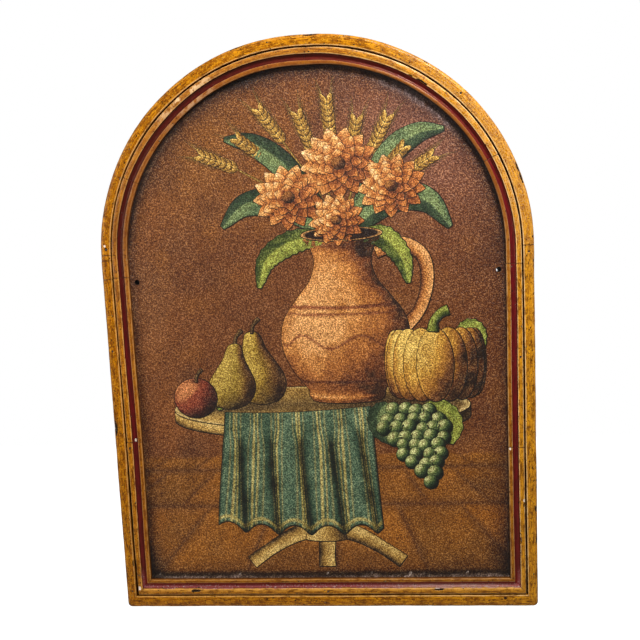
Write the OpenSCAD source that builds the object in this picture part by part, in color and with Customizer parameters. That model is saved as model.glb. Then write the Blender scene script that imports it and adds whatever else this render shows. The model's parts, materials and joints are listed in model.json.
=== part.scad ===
// Arched sign board with an outer band and an inner moulding applied round its face.
// Z is up, the face looks along -Y, and the wall lies at Y = 0.
// The origin is midway between the two screw holes, on the wall.

/* [Board] */
// Width over the outer band
sign_w = 610; // [500:5:900]
// Height of the straight legs, from the bottom edge to the springline of the arch
leg_h = 524; // [440:2:900]
// Straight run over the crown, between the two quarter arcs of the arch
crown_flat = 16; // [8:1:60]
// Thickness of the board
board_t = 18; // [15:0.5:30]
// Radius of the two bottom corners
corner_r = 7; // [2:0.5:12]

/* [Wall screws] */
// Diameter of the two holes for wall screws
screw_hole_d = 7; // [4:0.5:10]
// Distance from the moulding's inner edge to a screw hole's centre
screw_inset = 9.5; // [8:0.5:40]
// Height of the springline above the screw holes
screw_drop = 33; // [0:1:80]

/* [Outer band] */
// Width of the band on the legs and the arch
band_w = 14.5; // [12:0.5:24]
// Width of the band along the bottom
rail_w = 17.5; // [12:0.5:26]
// Thickness of the band at the middle of its crowned face
band_t = 11; // [9:0.5:16]
// Radius of the crowned face across the band
band_crown_r = 34; // [24:1:80]
// Radius of the rounded outside edge
band_round = 5; // [2:0.5:6]
// Radius of the eased edge beside the open line
band_ease = 1; // [0.5:0.1:1.5]
// Width of the open line between the band and the moulding
strip_gap = 1.8; // [0.8:0.1:4]

/* [Moulding] */
// Thickness of the moulding at its outer bead
bead_t = 10; // [8:0.5:14]
// Width of the flat outer bead
bead_w = 8; // [6:0.5:14]
// Radius of the bead's eased edges
bead_round = 1.4; // [0.5:0.1:2]
// Width of the hollow
cove_w = 8; // [6:0.5:14]
// Depth of the hollow below its own edges
cove_d = 2.4; // [1:0.2:3]
// Height of the inner bead above the hollow's edges
sight_rise = 1.2; // [1:0.1:2]
// Width of the inner bead at the sight edge
sight_w = 6.2; // [5:0.2:10]
// Height of the outer bead above the inner bead
sight_drop = 1.5; // [0.5:0.1:3]
// Radius of the inner bead's eased edge at the hollow
sight_ease = 0.9; // [0.3:0.1:0.9]
// Radius of the inner bead's edge at the painting
sight_round = 2.4; // [0.5:0.1:3]

/* [Joints] */
// Open glue line where two lengths meet
glue_line = 0.2; // [0.1:0.05:0.4]
// Straight tail below the springline on each shoulder length
shoulder_tail = 25; // [5:1:60]
// Angle of the right shoulder joint above the springline
right_shoulder_angle = 26.5; // [15:0.5:60]
// Angle of the left shoulder joint above the springline
left_shoulder_angle = 24.5; // [15:0.5:60]
// Height of the joint in the left leg above the bottom edge
left_joint_h = 256; // [120:2:360]
// Height of the joint in the right leg above the bottom edge
right_joint_h = 238; // [120:2:360]

/* [Pins] */
// Diameter of a pin's shank
pin_d = 1.6; // [1.2:0.1:2.2]
// Length of a pin with its head
pin_len = 22; // [18:0.5:24]
// Length of a pin's point
pin_point = 2.5; // [1.5:0.5:4]
// Diameter of a pin's head
pin_head_d = 2.8; // [2.4:0.1:4]
// Thickness of a pin's head
pin_head_t = 0.8; // [0.5:0.1:1.2]
// Depth of the head below the face of the strip
pin_set = 0.9; // [0.3:0.1:1.5]
// Clearance round a pin in its hole
pin_fit = 0.05; // [0.02:0.01:0.1]
// Widest spacing of the pins along a strip
pin_pitch = 130; // [80:5:180]
// Distance from a joint to the nearest pin
pin_end = 9; // [7:0.5:20]

/* [Hidden] */
$fn = 96;

half_w = sign_w / 2;
spring_z = screw_drop;
base_z = spring_z - leg_h;
past = 1;

// Each quarter arc is struck from a centre on the springline, crown_half to its own side of the middle
crown_half = crown_flat / 2;
arch_r = half_w - crown_half;
crown_angle = 90;

// Distances of the strips' edges from the middle of the sign, on its legs
band_in_x = half_w - band_w;
mould_out_x = band_in_x - strip_gap;
mould_w = bead_w + cove_w + sight_w;
sight_x = mould_out_x - mould_w;
face_w = half_w - sight_x;
rail_shift = rail_w - band_w;
screw_x = sight_x - screw_inset;

// Pins go through the middle of the band and of the outer bead
band_pin_x = half_w - band_w / 2;
mould_pin_x = mould_out_x - bead_w / 2;

// The hollow is an arc with the chord cove_w and the depth cove_d
cove_r = (pow(cove_w / 2, 2) + pow(cove_d, 2)) / (2 * cove_d);
sight_t = bead_t - sight_drop;
cove_edge_t = sight_t - sight_rise;
cove_over = (sight_rise - sight_ease) / 2;

// Height of the band's crowned face at a distance from the middle of its width
function crown_h(off) = band_t - band_crown_r + sqrt(pow(band_crown_r, 2) - pow(off, 2));

// Half of a glue line as an angle on the moulding's arc, and along a mitre
glue_angle = glue_line / 2 / (mould_pin_x - crown_half) * 180 / PI;
mitre_shift = glue_line / 2 * sqrt(2);

// Equal steps from a to b with pin_end left free at each end and no step over pin_pitch
function steps(length) = max(1, ceil((length - 2 * pin_end) / pin_pitch));
function spread(a, b) = [
    for (i = [0 : steps(b - a)])
        a + pin_end + (b - a - 2 * pin_end) * i / steps(b - a)
];

// Pin places as [x, z] on a leg and on the bottom
function leg_pins(x, z0, z1) = [for (z = spread(z0, z1)) [x, z]];
function bottom_pins(z, half) = [for (x = spread(-half, half)) [x, z]];

// Pin places on the right of the arch, on the line that runs up the leg at x, from the angle a0 to the
// angle a1 and then along flat, the length of the straight run beyond it
function arc_place(r, s) =
    s < r * PI / 2
        ? let (a = s / r * 180 / PI) [crown_half + r * cos(a), spring_z + r * sin(a)]
        : [crown_half + r * PI / 2 - s, spring_z + r];
function arch_pins(x, a0, a1, flat) =
    let (r = x - crown_half)
        [for (s = spread(a0 * PI / 180 * r, a1 * PI / 180 * r + flat)) arc_place(r, s)];
function mirrored(places) = [for (p = places) [-p[0], p[1]]];

band_rail_z = base_z + rail_w / 2;
mould_rail_z = base_z + rail_shift + half_w - mould_pin_x;
band_arch_pins = arch_pins(band_pin_x, 0, crown_angle, crown_half);
band_pin_at = concat(
    leg_pins(-band_pin_x, base_z + rail_w, spring_z),
    leg_pins(band_pin_x, base_z + rail_w, spring_z),
    bottom_pins(band_rail_z, half_w - band_w),
    band_arch_pins,
    mirrored(band_arch_pins)
);
mould_low_z = base_z + rail_shift + face_w;
shoulder_z = spring_z - shoulder_tail;
mould_pin_at = concat(
    bottom_pins(mould_rail_z, sight_x),
    leg_pins(-mould_pin_x, mould_low_z, base_z + left_joint_h),
    leg_pins(-mould_pin_x, base_z + left_joint_h, shoulder_z),
    leg_pins(mould_pin_x, mould_low_z, base_z + right_joint_h),
    leg_pins(mould_pin_x, base_z + right_joint_h, shoulder_z),
    arch_pins(mould_pin_x, 0, right_shoulder_angle, 0),
    arch_pins(mould_pin_x, right_shoulder_angle, crown_angle, crown_half),
    mirrored(arch_pins(mould_pin_x, 0, left_shoulder_angle, 0)),
    mirrored(arch_pins(mould_pin_x, left_shoulder_angle, crown_angle, crown_half))
);

// Takes the sharp corner at the origin off a shape that lies to its left and below
module ease(r) {
    difference() {
        translate([-r, -r])
            square([r + past, r + past]);
        translate([-r, -r])
            circle(r);
    }
}

// Bar standing on the board, with its two front edges rounded by r0 and r1
module rounded_bar(width, height, r0, r1) {
    difference() {
        square([width, height]);
        translate([0, height])
            mirror([1, 0])
                ease(r0);
        translate([width, height])
            ease(r1);
    }
}

// Section of the band: x is the distance from the sign's middle, y the height off the board
module band_section(width = band_w) {
    translate([half_w - width, 0])
        difference() {
            intersection() {
                square([width, band_t]);
                translate([width / 2, band_t - band_crown_r])
                    circle(band_crown_r, $fn = 4 * $fn);
            }
            translate([width, crown_h(width / 2 - band_round)])
                ease(band_round);
            translate([0, crown_h(width / 2 - band_ease)])
                mirror([1, 0])
                    ease(band_ease);
        }
}

// Section of the moulding from its outer edge inwards: flat bead, hollow and inner bead
module mould_section() {
    translate([mould_out_x, 0])
        mirror([1, 0]) {
            rounded_bar(bead_w, bead_t, bead_round, bead_round);
            difference() {
                square([mould_w - sight_round, cove_edge_t + cove_over]);
                translate([bead_w + cove_w / 2, cove_edge_t + cove_r - cove_d])
                    circle(cove_r);
            }
            translate([bead_w + cove_w, 0])
                rounded_bar(sight_w, sight_t, sight_ease, sight_round);
        }
}

// Lays a section on the board's face round the right quarter arc, from angle a0 to a1
module arc_run(a0, a1) {
    translate([crown_half, -board_t, spring_z])
        rotate([90, 0, 0])
            rotate([0, 0, a0])
                rotate_extrude(angle = a1 - a0, $fn = 3 * $fn)
                    translate([-crown_half, 0])
                        children();
}

// Lays a section on the board's face up the right leg, from z0 to z1
module leg_run(z0, z1) {
    translate([0, -board_t, z0])
        mirror([0, 1, 0])
            linear_extrude(z1 - z0)
                children();
}

// Lays a section on the board's face along the bottom, over its whole width, raised by a shift
module bottom_run(shift) {
    translate([-half_w, 0, base_z + half_w + shift])
        rotate([0, 90, 0])
            leg_run(0, sign_w)
                children();
}

// Lays a section on the board's face up a straight tail to the springline and round the right arc to angle a
module bend_run(tail, a) {
    union() {
        leg_run(spring_z - tail, spring_z)
            children();
        arc_run(0, a)
            children();
    }
}

// The same run laid from the crown: its tail reaches the middle and its arc comes down through the angle a
module crown_run(a) {
    translate([crown_half, 0, spring_z])
        mirror([1, 0, -1])
            translate([-crown_half, 0, -spring_z])
                bend_run(crown_half - glue_line / 2, a)
                    children();
}

// Prism over the right bottom corner on one side of the mitre: 1 takes the leg's side, -1 the bottom's. The
// mitre runs from the sign's corner to the band's inner corner, and from there at 45 degrees.
module mitre_side(side) {
    reach = face_w + past;
    low = [half_w + past, base_z - past * rail_w / band_w];
    bend = [band_in_x, base_z + rail_w];
    high = [half_w - reach, base_z + rail_shift + reach];
    tip = side > 0 ? [low[0], high[1]] : [high[0], low[1]];
    translate([0, past, side * -mitre_shift])
        rotate([90, 0, 0])
            linear_extrude(board_t + band_t + 2 * past)
                polygon([low, bend, high, tip]);
}

// Rounds the sign's right bottom corner
module corner_round() {
    translate([half_w, past, base_z])
        rotate([90, 0, 0])
            linear_extrude(board_t + band_t + 2 * past)
                mirror([0, 1])
                    ease(corner_r);
}

// Pin pointing into the board, with the top of its head at the origin
module pin(grow) {
    rotate([-90, 0, 0]) {
        cylinder(h = pin_head_t, d = pin_head_d + 2 * grow);
        cylinder(h = pin_len - pin_point, d = pin_d + 2 * grow);
        translate([0, 0, pin_len - pin_point])
            cylinder(h = pin_point, d1 = pin_d + 2 * grow, d2 = pin_d / 4 + 2 * grow);
    }
}

// Hole for a set pin, open to the face of the strip
module pin_hole() {
    pin(pin_fit);
    rotate([90, 0, 0])
        cylinder(h = pin_set + past, d = pin_head_d + 2 * pin_fit);
}

// One child at each place, with the head's top at its set depth under a face of height face_t
module at_pins(places, face_t) {
    for (p = places)
        translate([p[0], pin_set - board_t - face_t, p[1]])
            children();
}

module pin_holes() {
    at_pins(band_pin_at, band_t)
        pin_hole();
    at_pins(mould_pin_at, bead_t)
        pin_hole();
}

module backboard() {
    color("saddlebrown")
        difference() {
            rotate([90, 0, 0])
                linear_extrude(board_t)
                    union() {
                        for (side = [-1, 1])
                            translate([side * crown_half, spring_z])
                                circle(arch_r, $fn = 3 * $fn);
                        translate([-crown_half, spring_z])
                            square([crown_flat, arch_r]);
                        translate([-half_w, base_z])
                            square([sign_w, leg_h]);
                    }
            for (side = [0, 1])
                mirror([side, 0, 0]) {
                    corner_round();
                    translate([screw_x, past, 0])
                        rotate([90, 0, 0])
                            cylinder(h = board_t + 2 * past, d = screw_hole_d);
                }
            pin_holes();
        }
}

// Right leg of the band
module band_leg() {
    difference() {
        leg_run(base_z, spring_z - glue_line / 2)
            band_section();
        mitre_side(-1);
        corner_round();
        pin_holes();
    }
}

module band_right() {
    color("goldenrod")
        band_leg();
}

module band_left() {
    color("goldenrod")
        mirror([1, 0, 0])
            band_leg();
}

module band_bottom() {
    color("goldenrod")
        difference() {
            bottom_run(0)
                band_section(rail_w);
            for (side = [0, 1])
                mirror([side, 0, 0]) {
                    mitre_side(1);
                    corner_round();
                }
            pin_holes();
        }
}

// Band over the right of the arch, from the springline to the crown joint
module band_arch() {
    difference() {
        crown_run(crown_angle - glue_angle)
            band_section();
        pin_holes();
    }
}

module band_arch_right() {
    color("goldenrod")
        band_arch();
}

module band_arch_left() {
    color("goldenrod")
        mirror([1, 0, 0])
            band_arch();
}

module moulding_bottom() {
    color("firebrick")
        difference() {
            bottom_run(rail_shift)
                mould_section();
            for (side = [0, 1])
                mirror([side, 0, 0])
                    mitre_side(1);
            pin_holes();
        }
}

// Lower length of the moulding on the right leg, up to the joint at height top_h
module mould_leg_lower(top_h) {
    difference() {
        leg_run(base_z, base_z + top_h - glue_line / 2)
            mould_section();
        mitre_side(-1);
    }
}

// Upper length of the moulding on the right leg, from the joint at height low_h
module mould_leg_upper(low_h) {
    leg_run(base_z + low_h + glue_line / 2, shoulder_z - glue_line / 2)
        mould_section();
}

// Moulding from the right leg round to the joint at angle a
module mould_shoulder(a) {
    bend_run(shoulder_tail - glue_line / 2, a - glue_angle)
        mould_section();
}

// Moulding over the right of the arch, from the joint at angle a to the crown joint
module mould_crown(a) {
    crown_run(crown_angle - a - glue_angle)
        mould_section();
}

module moulding_right_lower() {
    color("firebrick")
        difference() {
            mould_leg_lower(right_joint_h);
            pin_holes();
        }
}

module moulding_right_upper() {
    color("indianred")
        difference() {
            mould_leg_upper(right_joint_h);
            pin_holes();
        }
}

module moulding_right_shoulder() {
    color("firebrick")
        difference() {
            mould_shoulder(right_shoulder_angle);
            pin_holes();
        }
}

module moulding_right_crown() {
    color("indianred")
        difference() {
            mould_crown(right_shoulder_angle);
            pin_holes();
        }
}

module moulding_left_lower() {
    color("firebrick")
        difference() {
            mirror([1, 0, 0])
                mould_leg_lower(left_joint_h);
            pin_holes();
        }
}

module moulding_left_upper() {
    color("indianred")
        difference() {
            mirror([1, 0, 0])
                mould_leg_upper(left_joint_h);
            pin_holes();
        }
}

module moulding_left_shoulder() {
    color("firebrick")
        difference() {
            mirror([1, 0, 0])
                mould_shoulder(left_shoulder_angle);
            pin_holes();
        }
}

module moulding_left_crown() {
    color("indianred")
        difference() {
            mirror([1, 0, 0])
                mould_crown(left_shoulder_angle);
            pin_holes();
        }
}

module band_pins() {
    color("dimgray")
        at_pins(band_pin_at, band_t)
            pin(0);
}

module moulding_pins() {
    color("dimgray")
        at_pins(mould_pin_at, bead_t)
            pin(0);
}

backboard();
band_left();
band_right();
band_bottom();
band_arch_left();
band_arch_right();
moulding_bottom();
moulding_left_lower();
moulding_left_upper();
moulding_left_shoulder();
moulding_left_crown();
moulding_right_crown();
moulding_right_shoulder();
moulding_right_upper();
moulding_right_lower();
band_pins();
moulding_pins();
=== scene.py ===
import json
import math

import bpy
import numpy as np
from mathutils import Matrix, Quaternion, Vector


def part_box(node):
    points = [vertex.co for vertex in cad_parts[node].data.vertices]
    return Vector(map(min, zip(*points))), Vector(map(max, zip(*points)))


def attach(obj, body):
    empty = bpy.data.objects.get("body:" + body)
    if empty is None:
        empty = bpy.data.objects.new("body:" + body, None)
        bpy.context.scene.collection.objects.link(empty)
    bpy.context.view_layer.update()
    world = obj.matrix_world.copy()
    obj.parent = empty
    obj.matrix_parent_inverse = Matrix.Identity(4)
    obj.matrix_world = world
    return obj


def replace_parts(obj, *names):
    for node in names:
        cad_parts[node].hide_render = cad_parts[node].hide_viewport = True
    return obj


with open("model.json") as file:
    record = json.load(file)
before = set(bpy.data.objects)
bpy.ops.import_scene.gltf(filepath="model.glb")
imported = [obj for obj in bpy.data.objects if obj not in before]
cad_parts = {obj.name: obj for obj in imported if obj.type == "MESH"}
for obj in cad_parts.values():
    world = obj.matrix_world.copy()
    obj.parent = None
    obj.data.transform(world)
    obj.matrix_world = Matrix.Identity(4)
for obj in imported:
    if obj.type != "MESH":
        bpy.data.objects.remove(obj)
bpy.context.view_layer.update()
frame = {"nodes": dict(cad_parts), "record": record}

# Backboard
# The real piece is a softwood board, 18 mm thick, sawn to an arched outline, with a hole for a wall screw
# near each end of the springline. Its edges carry the ochre paint of the band and its back is bare wood.
MM = 0.001
board_low, board_high = (np.array(corner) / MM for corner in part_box("backboard"))
half_w = board_high[0]
base_z = board_low[2]
glue_line = 0.2
spring_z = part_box("band_left")[1].z / MM + glue_line / 2
arch_r = board_high[2] - spring_z
crown_half = half_w - arch_r
leg_h = spring_z - base_z
face_y = board_low[1]
corner_r = 7.0
screws = next(m for m in frame["record"]["mounts"] if m["name"] == "wall_screws")["dims"]
screw_x = screws["spacing_x_mm"] / 2
screw_r = screws["hole_r_mm"]
back_ease = 1.2
board_cell = 5.9
drill_taper = 0.6
knock_deep = 1.5
board_rings, ground_rings = (3, 6), (3, 4)
drill_lean = {-1: (1.2, 0.5), 1: (-2.8, -2.8)}


def linear(code, strength=1.0):
    """Linear RGBA of an sRGB hex colour: a channel c above 0.04045 becomes ((c + 0.055) / 1.055) ^
    2.4."""
    channels = np.array([int(code[i : i + 2], 16) for i in (1, 3, 5)]) / 255
    low, high = channels / 12.92, ((channels + 0.055) / 1.055) ** 2.4
    return (*(np.where(channels > 0.04045, high, low) * strength), 1.0)


def lumps(a, b, size, seed):
    """Smooth noise from -1 to 1 at (a, b): random heights on a square lattice with cells of that size,
    and between its points the four nearest heights, mixed by the step 3t^2 - 2t^3 along each side."""
    heights = np.random.default_rng(seed).uniform(-1, 1, (97, 89))
    a, b = np.broadcast_arrays(np.asarray(a, float) / size, np.asarray(b, float) / size)
    i, j = np.floor(a).astype(int), np.floor(b).astype(int)
    s, t = a - i, b - j
    s, t = s * s * (3 - 2 * s), t * t * (3 - 2 * t)
    near = heights[i % 97, j % 89] * (1 - t) + heights[i % 97, (j + 1) % 89] * t
    far = heights[(i + 1) % 97, j % 89] * (1 - t) + heights[(i + 1) % 97, (j + 1) % 89] * t
    return near * (1 - s) + far * s


def smooth(low, high, value):
    """The step 3t^2 - 2t^3, where t is the value's share of the way from low to high, held in 0 to 1."""
    t = np.clip((np.asarray(value, float) - low) / (high - low), 0, 1)
    return t * t * (3 - 2 * t)


def square_to_disc(a, b):
    """Turns the square from -1 to 1 into the unit disc: the larger of |a| and |b| becomes the radius, and
    the smaller one over the larger one, times 45 degrees, becomes the angle from the larger one's
    axis."""
    wide = np.abs(a) >= np.abs(b)
    lead = np.where(wide, a, b)
    turn = np.pi / 4 * np.where(wide, b, a) / np.where(lead == 0, 1, lead)
    along, across = lead * np.cos(turn), lead * np.sin(turn)
    return np.where(wide, along, across), np.where(wide, across, along)


def arch_reach(x, z, radius):
    """How far the arch is from the middle of its springline, in the direction (x, z). Each quarter is
    struck with the radius from a point crown_half beside the middle, and a straight run joins the two at
    the crown."""
    angle = np.arctan2(z, np.abs(x))
    curved = crown_half * np.cos(angle) + np.sqrt(radius**2 - (crown_half * np.sin(angle)) ** 2)
    return np.where(angle > np.arctan2(radius, crown_half), radius / np.maximum(np.sin(angle), 0.1), curved)


def arch_grid(half, low, corner, cell, inset=0.0):
    """Points of a grid over an arch-topped sheet, in mm. The straight part is stretched evenly, the part
    above the springline is half of a square turned into a disc and on into the arch, and each bottom
    corner is a small square turned into a quarter disc. The inset, a number or an array, draws the points
    in."""
    across = round(half / cell)
    u, v = np.meshgrid(
        np.linspace(-1, 1, 2 * across + 1),
        np.concatenate([
            np.linspace(-1, 0, round((spring_z - low) / cell) + 1)[:-1],
            np.linspace(0, 1, across + 1),
        ]),
    )
    half, low = half - inset, low + inset
    disc_x, disc_z = square_to_disc(u, np.maximum(v, 0))
    reach = arch_reach(disc_x, disc_z, half - crown_half)
    x = np.where(v > 0, reach * disc_x, half * u)
    z = spring_z + np.where(v > 0, reach * disc_z, (spring_z - low) * v)
    return round_corners(x, z, half, low, corner)


def round_corners(x, z, half, low, corner):
    """Draws points in the square at each bottom corner of a sheet into the corner's quarter disc."""
    a, b = np.abs(x) - (half - corner), low + corner - z
    a_round, b_round = square_to_disc(a / corner, b / corner)
    there = (a > 0) & (b > 0)
    x = np.where(there, np.sign(x) * (half - corner + corner * a_round), x)
    return x, np.where(there, low + corner * (1 - b_round), z)


def open_holes(x, z, radius, rings, lean=0.0):
    """Opens both screw holes in a grid, lean times off their true places. Square rings of points round
    the grid point nearest to a hole are drawn onto circles: the ring numbered rings[0] onto the hole's
    edge, and each further one less, up to rings[1], which stays."""
    row = int(np.argmin(np.abs(z[:, z.shape[1] // 2])))
    for side, (off_x, off_z) in drill_lean.items():
        column = int(np.argmin(np.abs(x[row] - side * screw_x)))
        i, j = np.indices(x.shape)
        ring = np.maximum(np.abs(i - row), np.abs(j - column))
        steps = np.maximum(ring, 1)
        to_x, to_z = square_to_disc((j - column) / steps, (i - row) / steps)
        share = np.clip((ring - rings[0]) / (rings[1] - rings[0]), 0, 1)
        cell = abs(x[row, column + rings[1]] - x[row, column]) / rings[1]
        circle = radius + (ring - rings[0]) * cell * 0.8
        moved = ring <= rings[1]
        drawn_x = side * screw_x + lean * off_x + to_x * circle
        x = np.where(moved, drawn_x * (1 - share) + x * share, x)
        z = np.where(moved, (lean * off_z + to_z * circle) * (1 - share) + z * share, z)
    return x, z


def arch_shell(layers, screw_rings, front_is_grid):
    """A closed plate from layers of the same grid, each an array of x, y and z: side walls join the
    layers round the outside and round both screw holes. The front is the whole grid or, like the back,
    two flat faces that meet along the row through the holes. Returns points, four-sided faces and
    many-sided faces."""
    rows, columns = layers[0][0].shape
    number = np.arange(rows * columns).reshape(rows, columns)
    row = int(np.argmin(np.abs(layers[0][2][:, columns // 2])))
    hole_columns = [int(np.argmin(np.abs(layers[0][0][row] - side * screw_x))) for side in (-1, 1)]
    over = np.concatenate([number[row:, -1], number[-1, -2::-1], number[-2:row:-1, 0], number[row, :1]])
    under = np.concatenate([number[row:0:-1, 0], number[0, :], number[1 : row + 1, -1]])
    k = screw_rings[0]
    arcs = []
    for column in hole_columns:
        block = number[row - k : row + k + 1, column - k : column + k + 1]
        top = np.concatenate([block[k:, 0], block[-1, 1:-1], block[:k - 1:-1, -1]])
        low = np.concatenate([block[k::-1, -1], block[0, -2:0:-1], block[: k + 1, 0]])
        arcs.append((top, low))
    caps = [
        np.concatenate([over, arcs[0][0], arcs[1][0]]),
        np.concatenate([under, arcs[1][1], arcs[0][1]]),
    ]
    loops = [np.concatenate([over[:-1], under[:-1]])]
    loops += [np.concatenate([top[:-1], low[:-1]]) for top, low in arcs]
    quads, rings = [], []
    size = rows * columns
    if front_is_grid:
        corners = [number[:-1, :-1], number[:-1, 1:], number[1:, 1:], number[1:, :-1]]
        i, j = np.indices(corners[0].shape)
        kept = np.ones(corners[0].shape, bool)
        for column in hole_columns:
            kept &= (i < row - k) | (i >= row + k) | (j < column - k) | (j >= column + k)
        quads.append(np.stack([c[kept] for c in corners], 1))
    else:
        rings += caps
    for layer in range(len(layers) - 1):
        for loop in loops:
            here, there = loop + layer * size, loop + (layer + 1) * size
            quads.append(np.stack([here, there, np.roll(there, -1), np.roll(here, -1)], 1))
    rings += [cap[::-1] + (len(layers) - 1) * size for cap in caps]
    points = np.concatenate([np.stack([c.ravel() for c in layer], 1) for layer in layers])
    return points, np.concatenate(quads), rings


def make_piece(name, points, quads, rings, material, values=None, sharp=40):
    """A mesh object riding on the board, from whole arrays: points in mm, faces as point numbers and, for
    each attribute's name, one number or three for each point. Points that no face uses are left out, and
    all faces are turned round if the volume that they enclose comes out negative."""
    order = np.concatenate([quads.ravel(), *rings]).astype(int)
    used, order = np.unique(order, return_inverse=True)
    counts = np.concatenate([np.full(len(quads), 4), [len(ring) for ring in rings]]).astype(int)
    starts = np.concatenate([[0], np.cumsum(counts)[:-1]]).astype(int)
    points = np.asarray(points, float)[used] * MM
    face = np.repeat(np.arange(len(counts)), counts)
    first = points[order[starts]][face]
    after = np.arange(len(order)) + 1
    after[starts + counts - 1] = starts
    volume = np.einsum("ij,ij->i", first, np.cross(points[order], points[order[after]])).sum()
    if volume < 0:
        place = starts[face] + (counts[face] - 1) - (np.arange(len(order)) - starts[face])
        order = order[place]
    mesh = bpy.data.meshes.new(name)
    mesh.vertices.add(len(points))
    mesh.vertices.foreach_set("co", points.astype(np.float32).ravel())
    mesh.loops.add(len(order))
    mesh.loops.foreach_set("vertex_index", order.astype(np.int32))
    mesh.polygons.add(len(counts))
    mesh.polygons.foreach_set("loop_start", starts.astype(np.int32))
    mesh.update(calc_edges=True)
    for key, value in (values or {}).items():
        value = np.asarray(value, np.float32)[used]
        if value.ndim == 1:
            mesh.attributes.new(key, "FLOAT", "POINT").data.foreach_set("value", value)
        else:
            mesh.attributes.new(key, "FLOAT_VECTOR", "POINT").data.foreach_set("vector", value.ravel())
    mesh.shade_smooth()
    mesh.set_sharp_from_angle(angle=math.radians(sharp))
    mesh.materials.append(material)
    piece = bpy.data.objects.new(name, mesh)
    bpy.context.scene.collection.objects.link(piece)
    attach(piece, "root")
    return piece


def wire(tree, node, inputs):
    """Sets or links each input of a node, named by its name or its number."""
    for key, value in inputs.items():
        if isinstance(value, bpy.types.NodeSocket):
            tree.links.new(value, node.inputs[key])
        else:
            node.inputs[key].default_value = value


def add(tree, kind, inputs=None, out=0, **settings):
    """Adds a shader node of a kind with its settings and inputs, and returns its output of that name or
    number."""
    node = tree.nodes.new("ShaderNode" + kind)
    for key, value in settings.items():
        setattr(node, key, value)
    wire(tree, node, inputs or {})
    return node.outputs[out]


def layered(tree, colour, layers):
    """A colour with layers of others over it, each given as its sRGB code or colour and then its masks. A
    mask is (value, low, high, least, most), going from least to most while the value goes from low to
    high, or a value alone. A layer covers as much as all its masks multiplied."""
    for over, *masks in layers:
        share = None
        for value, *limits in masks:
            mask = add(tree, "MapRange", {0: value, **dict(enumerate(limits, 1))}) if limits else value
            share = add(tree, "Math", {0: share, 1: mask}, operation="MULTIPLY") if share else mask
        over = linear(over) if isinstance(over, str) else over
        colour = add(tree, "Mix", {0: share, 6: colour, 7: over}, 2, data_type="RGBA")
    return colour


def new_material(name):
    """An empty node material: its tree, its shader and the material."""
    material = bpy.data.materials.new(name)
    material.use_nodes = True
    tree = material.node_tree
    return material, tree, tree.nodes["Principled BSDF"]


# Aged bare softwood: pale tan latewood lines up the board, browned by handling and by the paint that lapped
# round its edges. It is matt, with a fine ridge at each grain line. The walls of both screw holes are
# painted near black as painted shade.
grain_pitch = 7 * MM
wood, tree, shader = new_material("bare_softwood_painted_edges")
place = add(tree, "TexCoord", out="Object")
depth = add(tree, "SeparateXYZ", {0: place}, "Y")
stretched = add(tree, "Mapping", {"Vector": place, "Scale": (1, 1, 0.07)})
drift = add(tree, "TexNoise", {"Vector": stretched, "Scale": 1 / (60 * MM), "Detail": 2}, "Color")
rings_at = add(tree, "VectorMath", {0: drift, 1: (0.05, 0, 0.02), 2: stretched}, operation="MULTIPLY_ADD")
lines = add(tree, "TexWave", {
    "Vector": rings_at, "Scale": 1 / (grain_pitch * 20), "Distortion": 3, "Detail": 3, "Detail Scale": 2,
}, "Fac", bands_direction="X", wave_profile="SAW")
pores, stain, edge_worn = (
    add(tree, "TexNoise", {"Vector": where, "Scale": 1 / (size * MM), "Detail": detail})
    for where, size, detail in ((stretched, 1.2, 4), (place, 140, 5), (place, 9, 6))
)
flaking = add(tree, "Math", {0: edge_worn, 1: 0.006, 2: depth}, operation="MULTIPLY_ADD")
mirrored = add(tree, "VectorMath", {0: place}, operation="ABSOLUTE")
hole_at = {0: mirrored, 1: (1, 0, 1), 2: (-screw_x * MM, 0, 0)}
from_hole = add(tree, "VectorMath", hole_at, operation="MULTIPLY_ADD")
from_hole = add(tree, "VectorMath", {0: from_hole}, "Value", operation="LENGTH")
in_bore, in_board = (
    add(tree, "Math", {0: value, 1: limit * MM}, operation="LESS_THAN")
    for value, limit in ((from_hole, screw_r + 3), (depth, -0.3))
)
wood_colour = layered(tree, linear("#BC8E5C"), [("#8E6238", (lines,))])
pored = {0: pores, 6: wood_colour, 7: linear("#5E3D22")}
wood_colour = add(tree, "Mix", pored, 2, data_type="RGBA", blend_type="SOFT_LIGHT")
edge_paint = layered(tree, linear("#5B3511"), [("#A66A18", (edge_worn, 0.38, 0.62))])
wood_colour = layered(tree, wood_colour, [
    ("#5E4024", (stain, 0.42, 0.7, 0, 0.7)),
    (edge_paint, (flaking, 0.0008, 0.0016, 1, 0)),
    # Painted shade: the walls of both screw holes near black.
    ("#120A05", (in_bore,), (in_board,)),
])
ridges = add(tree, "Math", {0: lines, 1: pores}, operation="ADD")
wire(tree, shader, {
    "Base Color": wood_colour,
    "Roughness": add(tree, "MapRange", {0: flaking, 1: 0.0008, 2: 0.0016, 3: 0.5, 4: 0.78}),
    "Normal": add(tree, "Bump", {"Strength": 0.35, "Distance": 0.2 * MM, "Height": ridges}),
})

# Each layer is the outline drawn in by the first number at the depth of the second. Knocks and rubbing take
# up to 1.5 mm off the back edge. The holes were drilled by hand, so they lean and narrow towards the back.
board_layers = []
for inset, y in [
    (0.3, face_y), (0.0, face_y + 0.4), (0.0, face_y * 0.6), (0.0, face_y * 0.25),
    (0.0, -back_ease), (0.4 * back_ease, -0.3 * back_ease), (back_ease, 0.0),
]:
    x, z = arch_grid(half_w, base_z, corner_r, board_cell)
    knock = smooth(0.35, 0.95, lumps(x, z, 9, 11)) * smooth(face_y * 0.3, 0, y)
    x, z = arch_grid(half_w, base_z, corner_r, board_cell, inset + knock_deep * knock)
    sunk = 1 - y / face_y
    x, z = open_holes(x, z, screw_r - sunk * drill_taper, board_rings, sunk)
    board_layers.append((x, np.full(x.shape, y), z))
points, quads, rings = arch_shell(board_layers, board_rings, False)
board = make_piece("board", points, quads, rings, wood)
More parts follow.
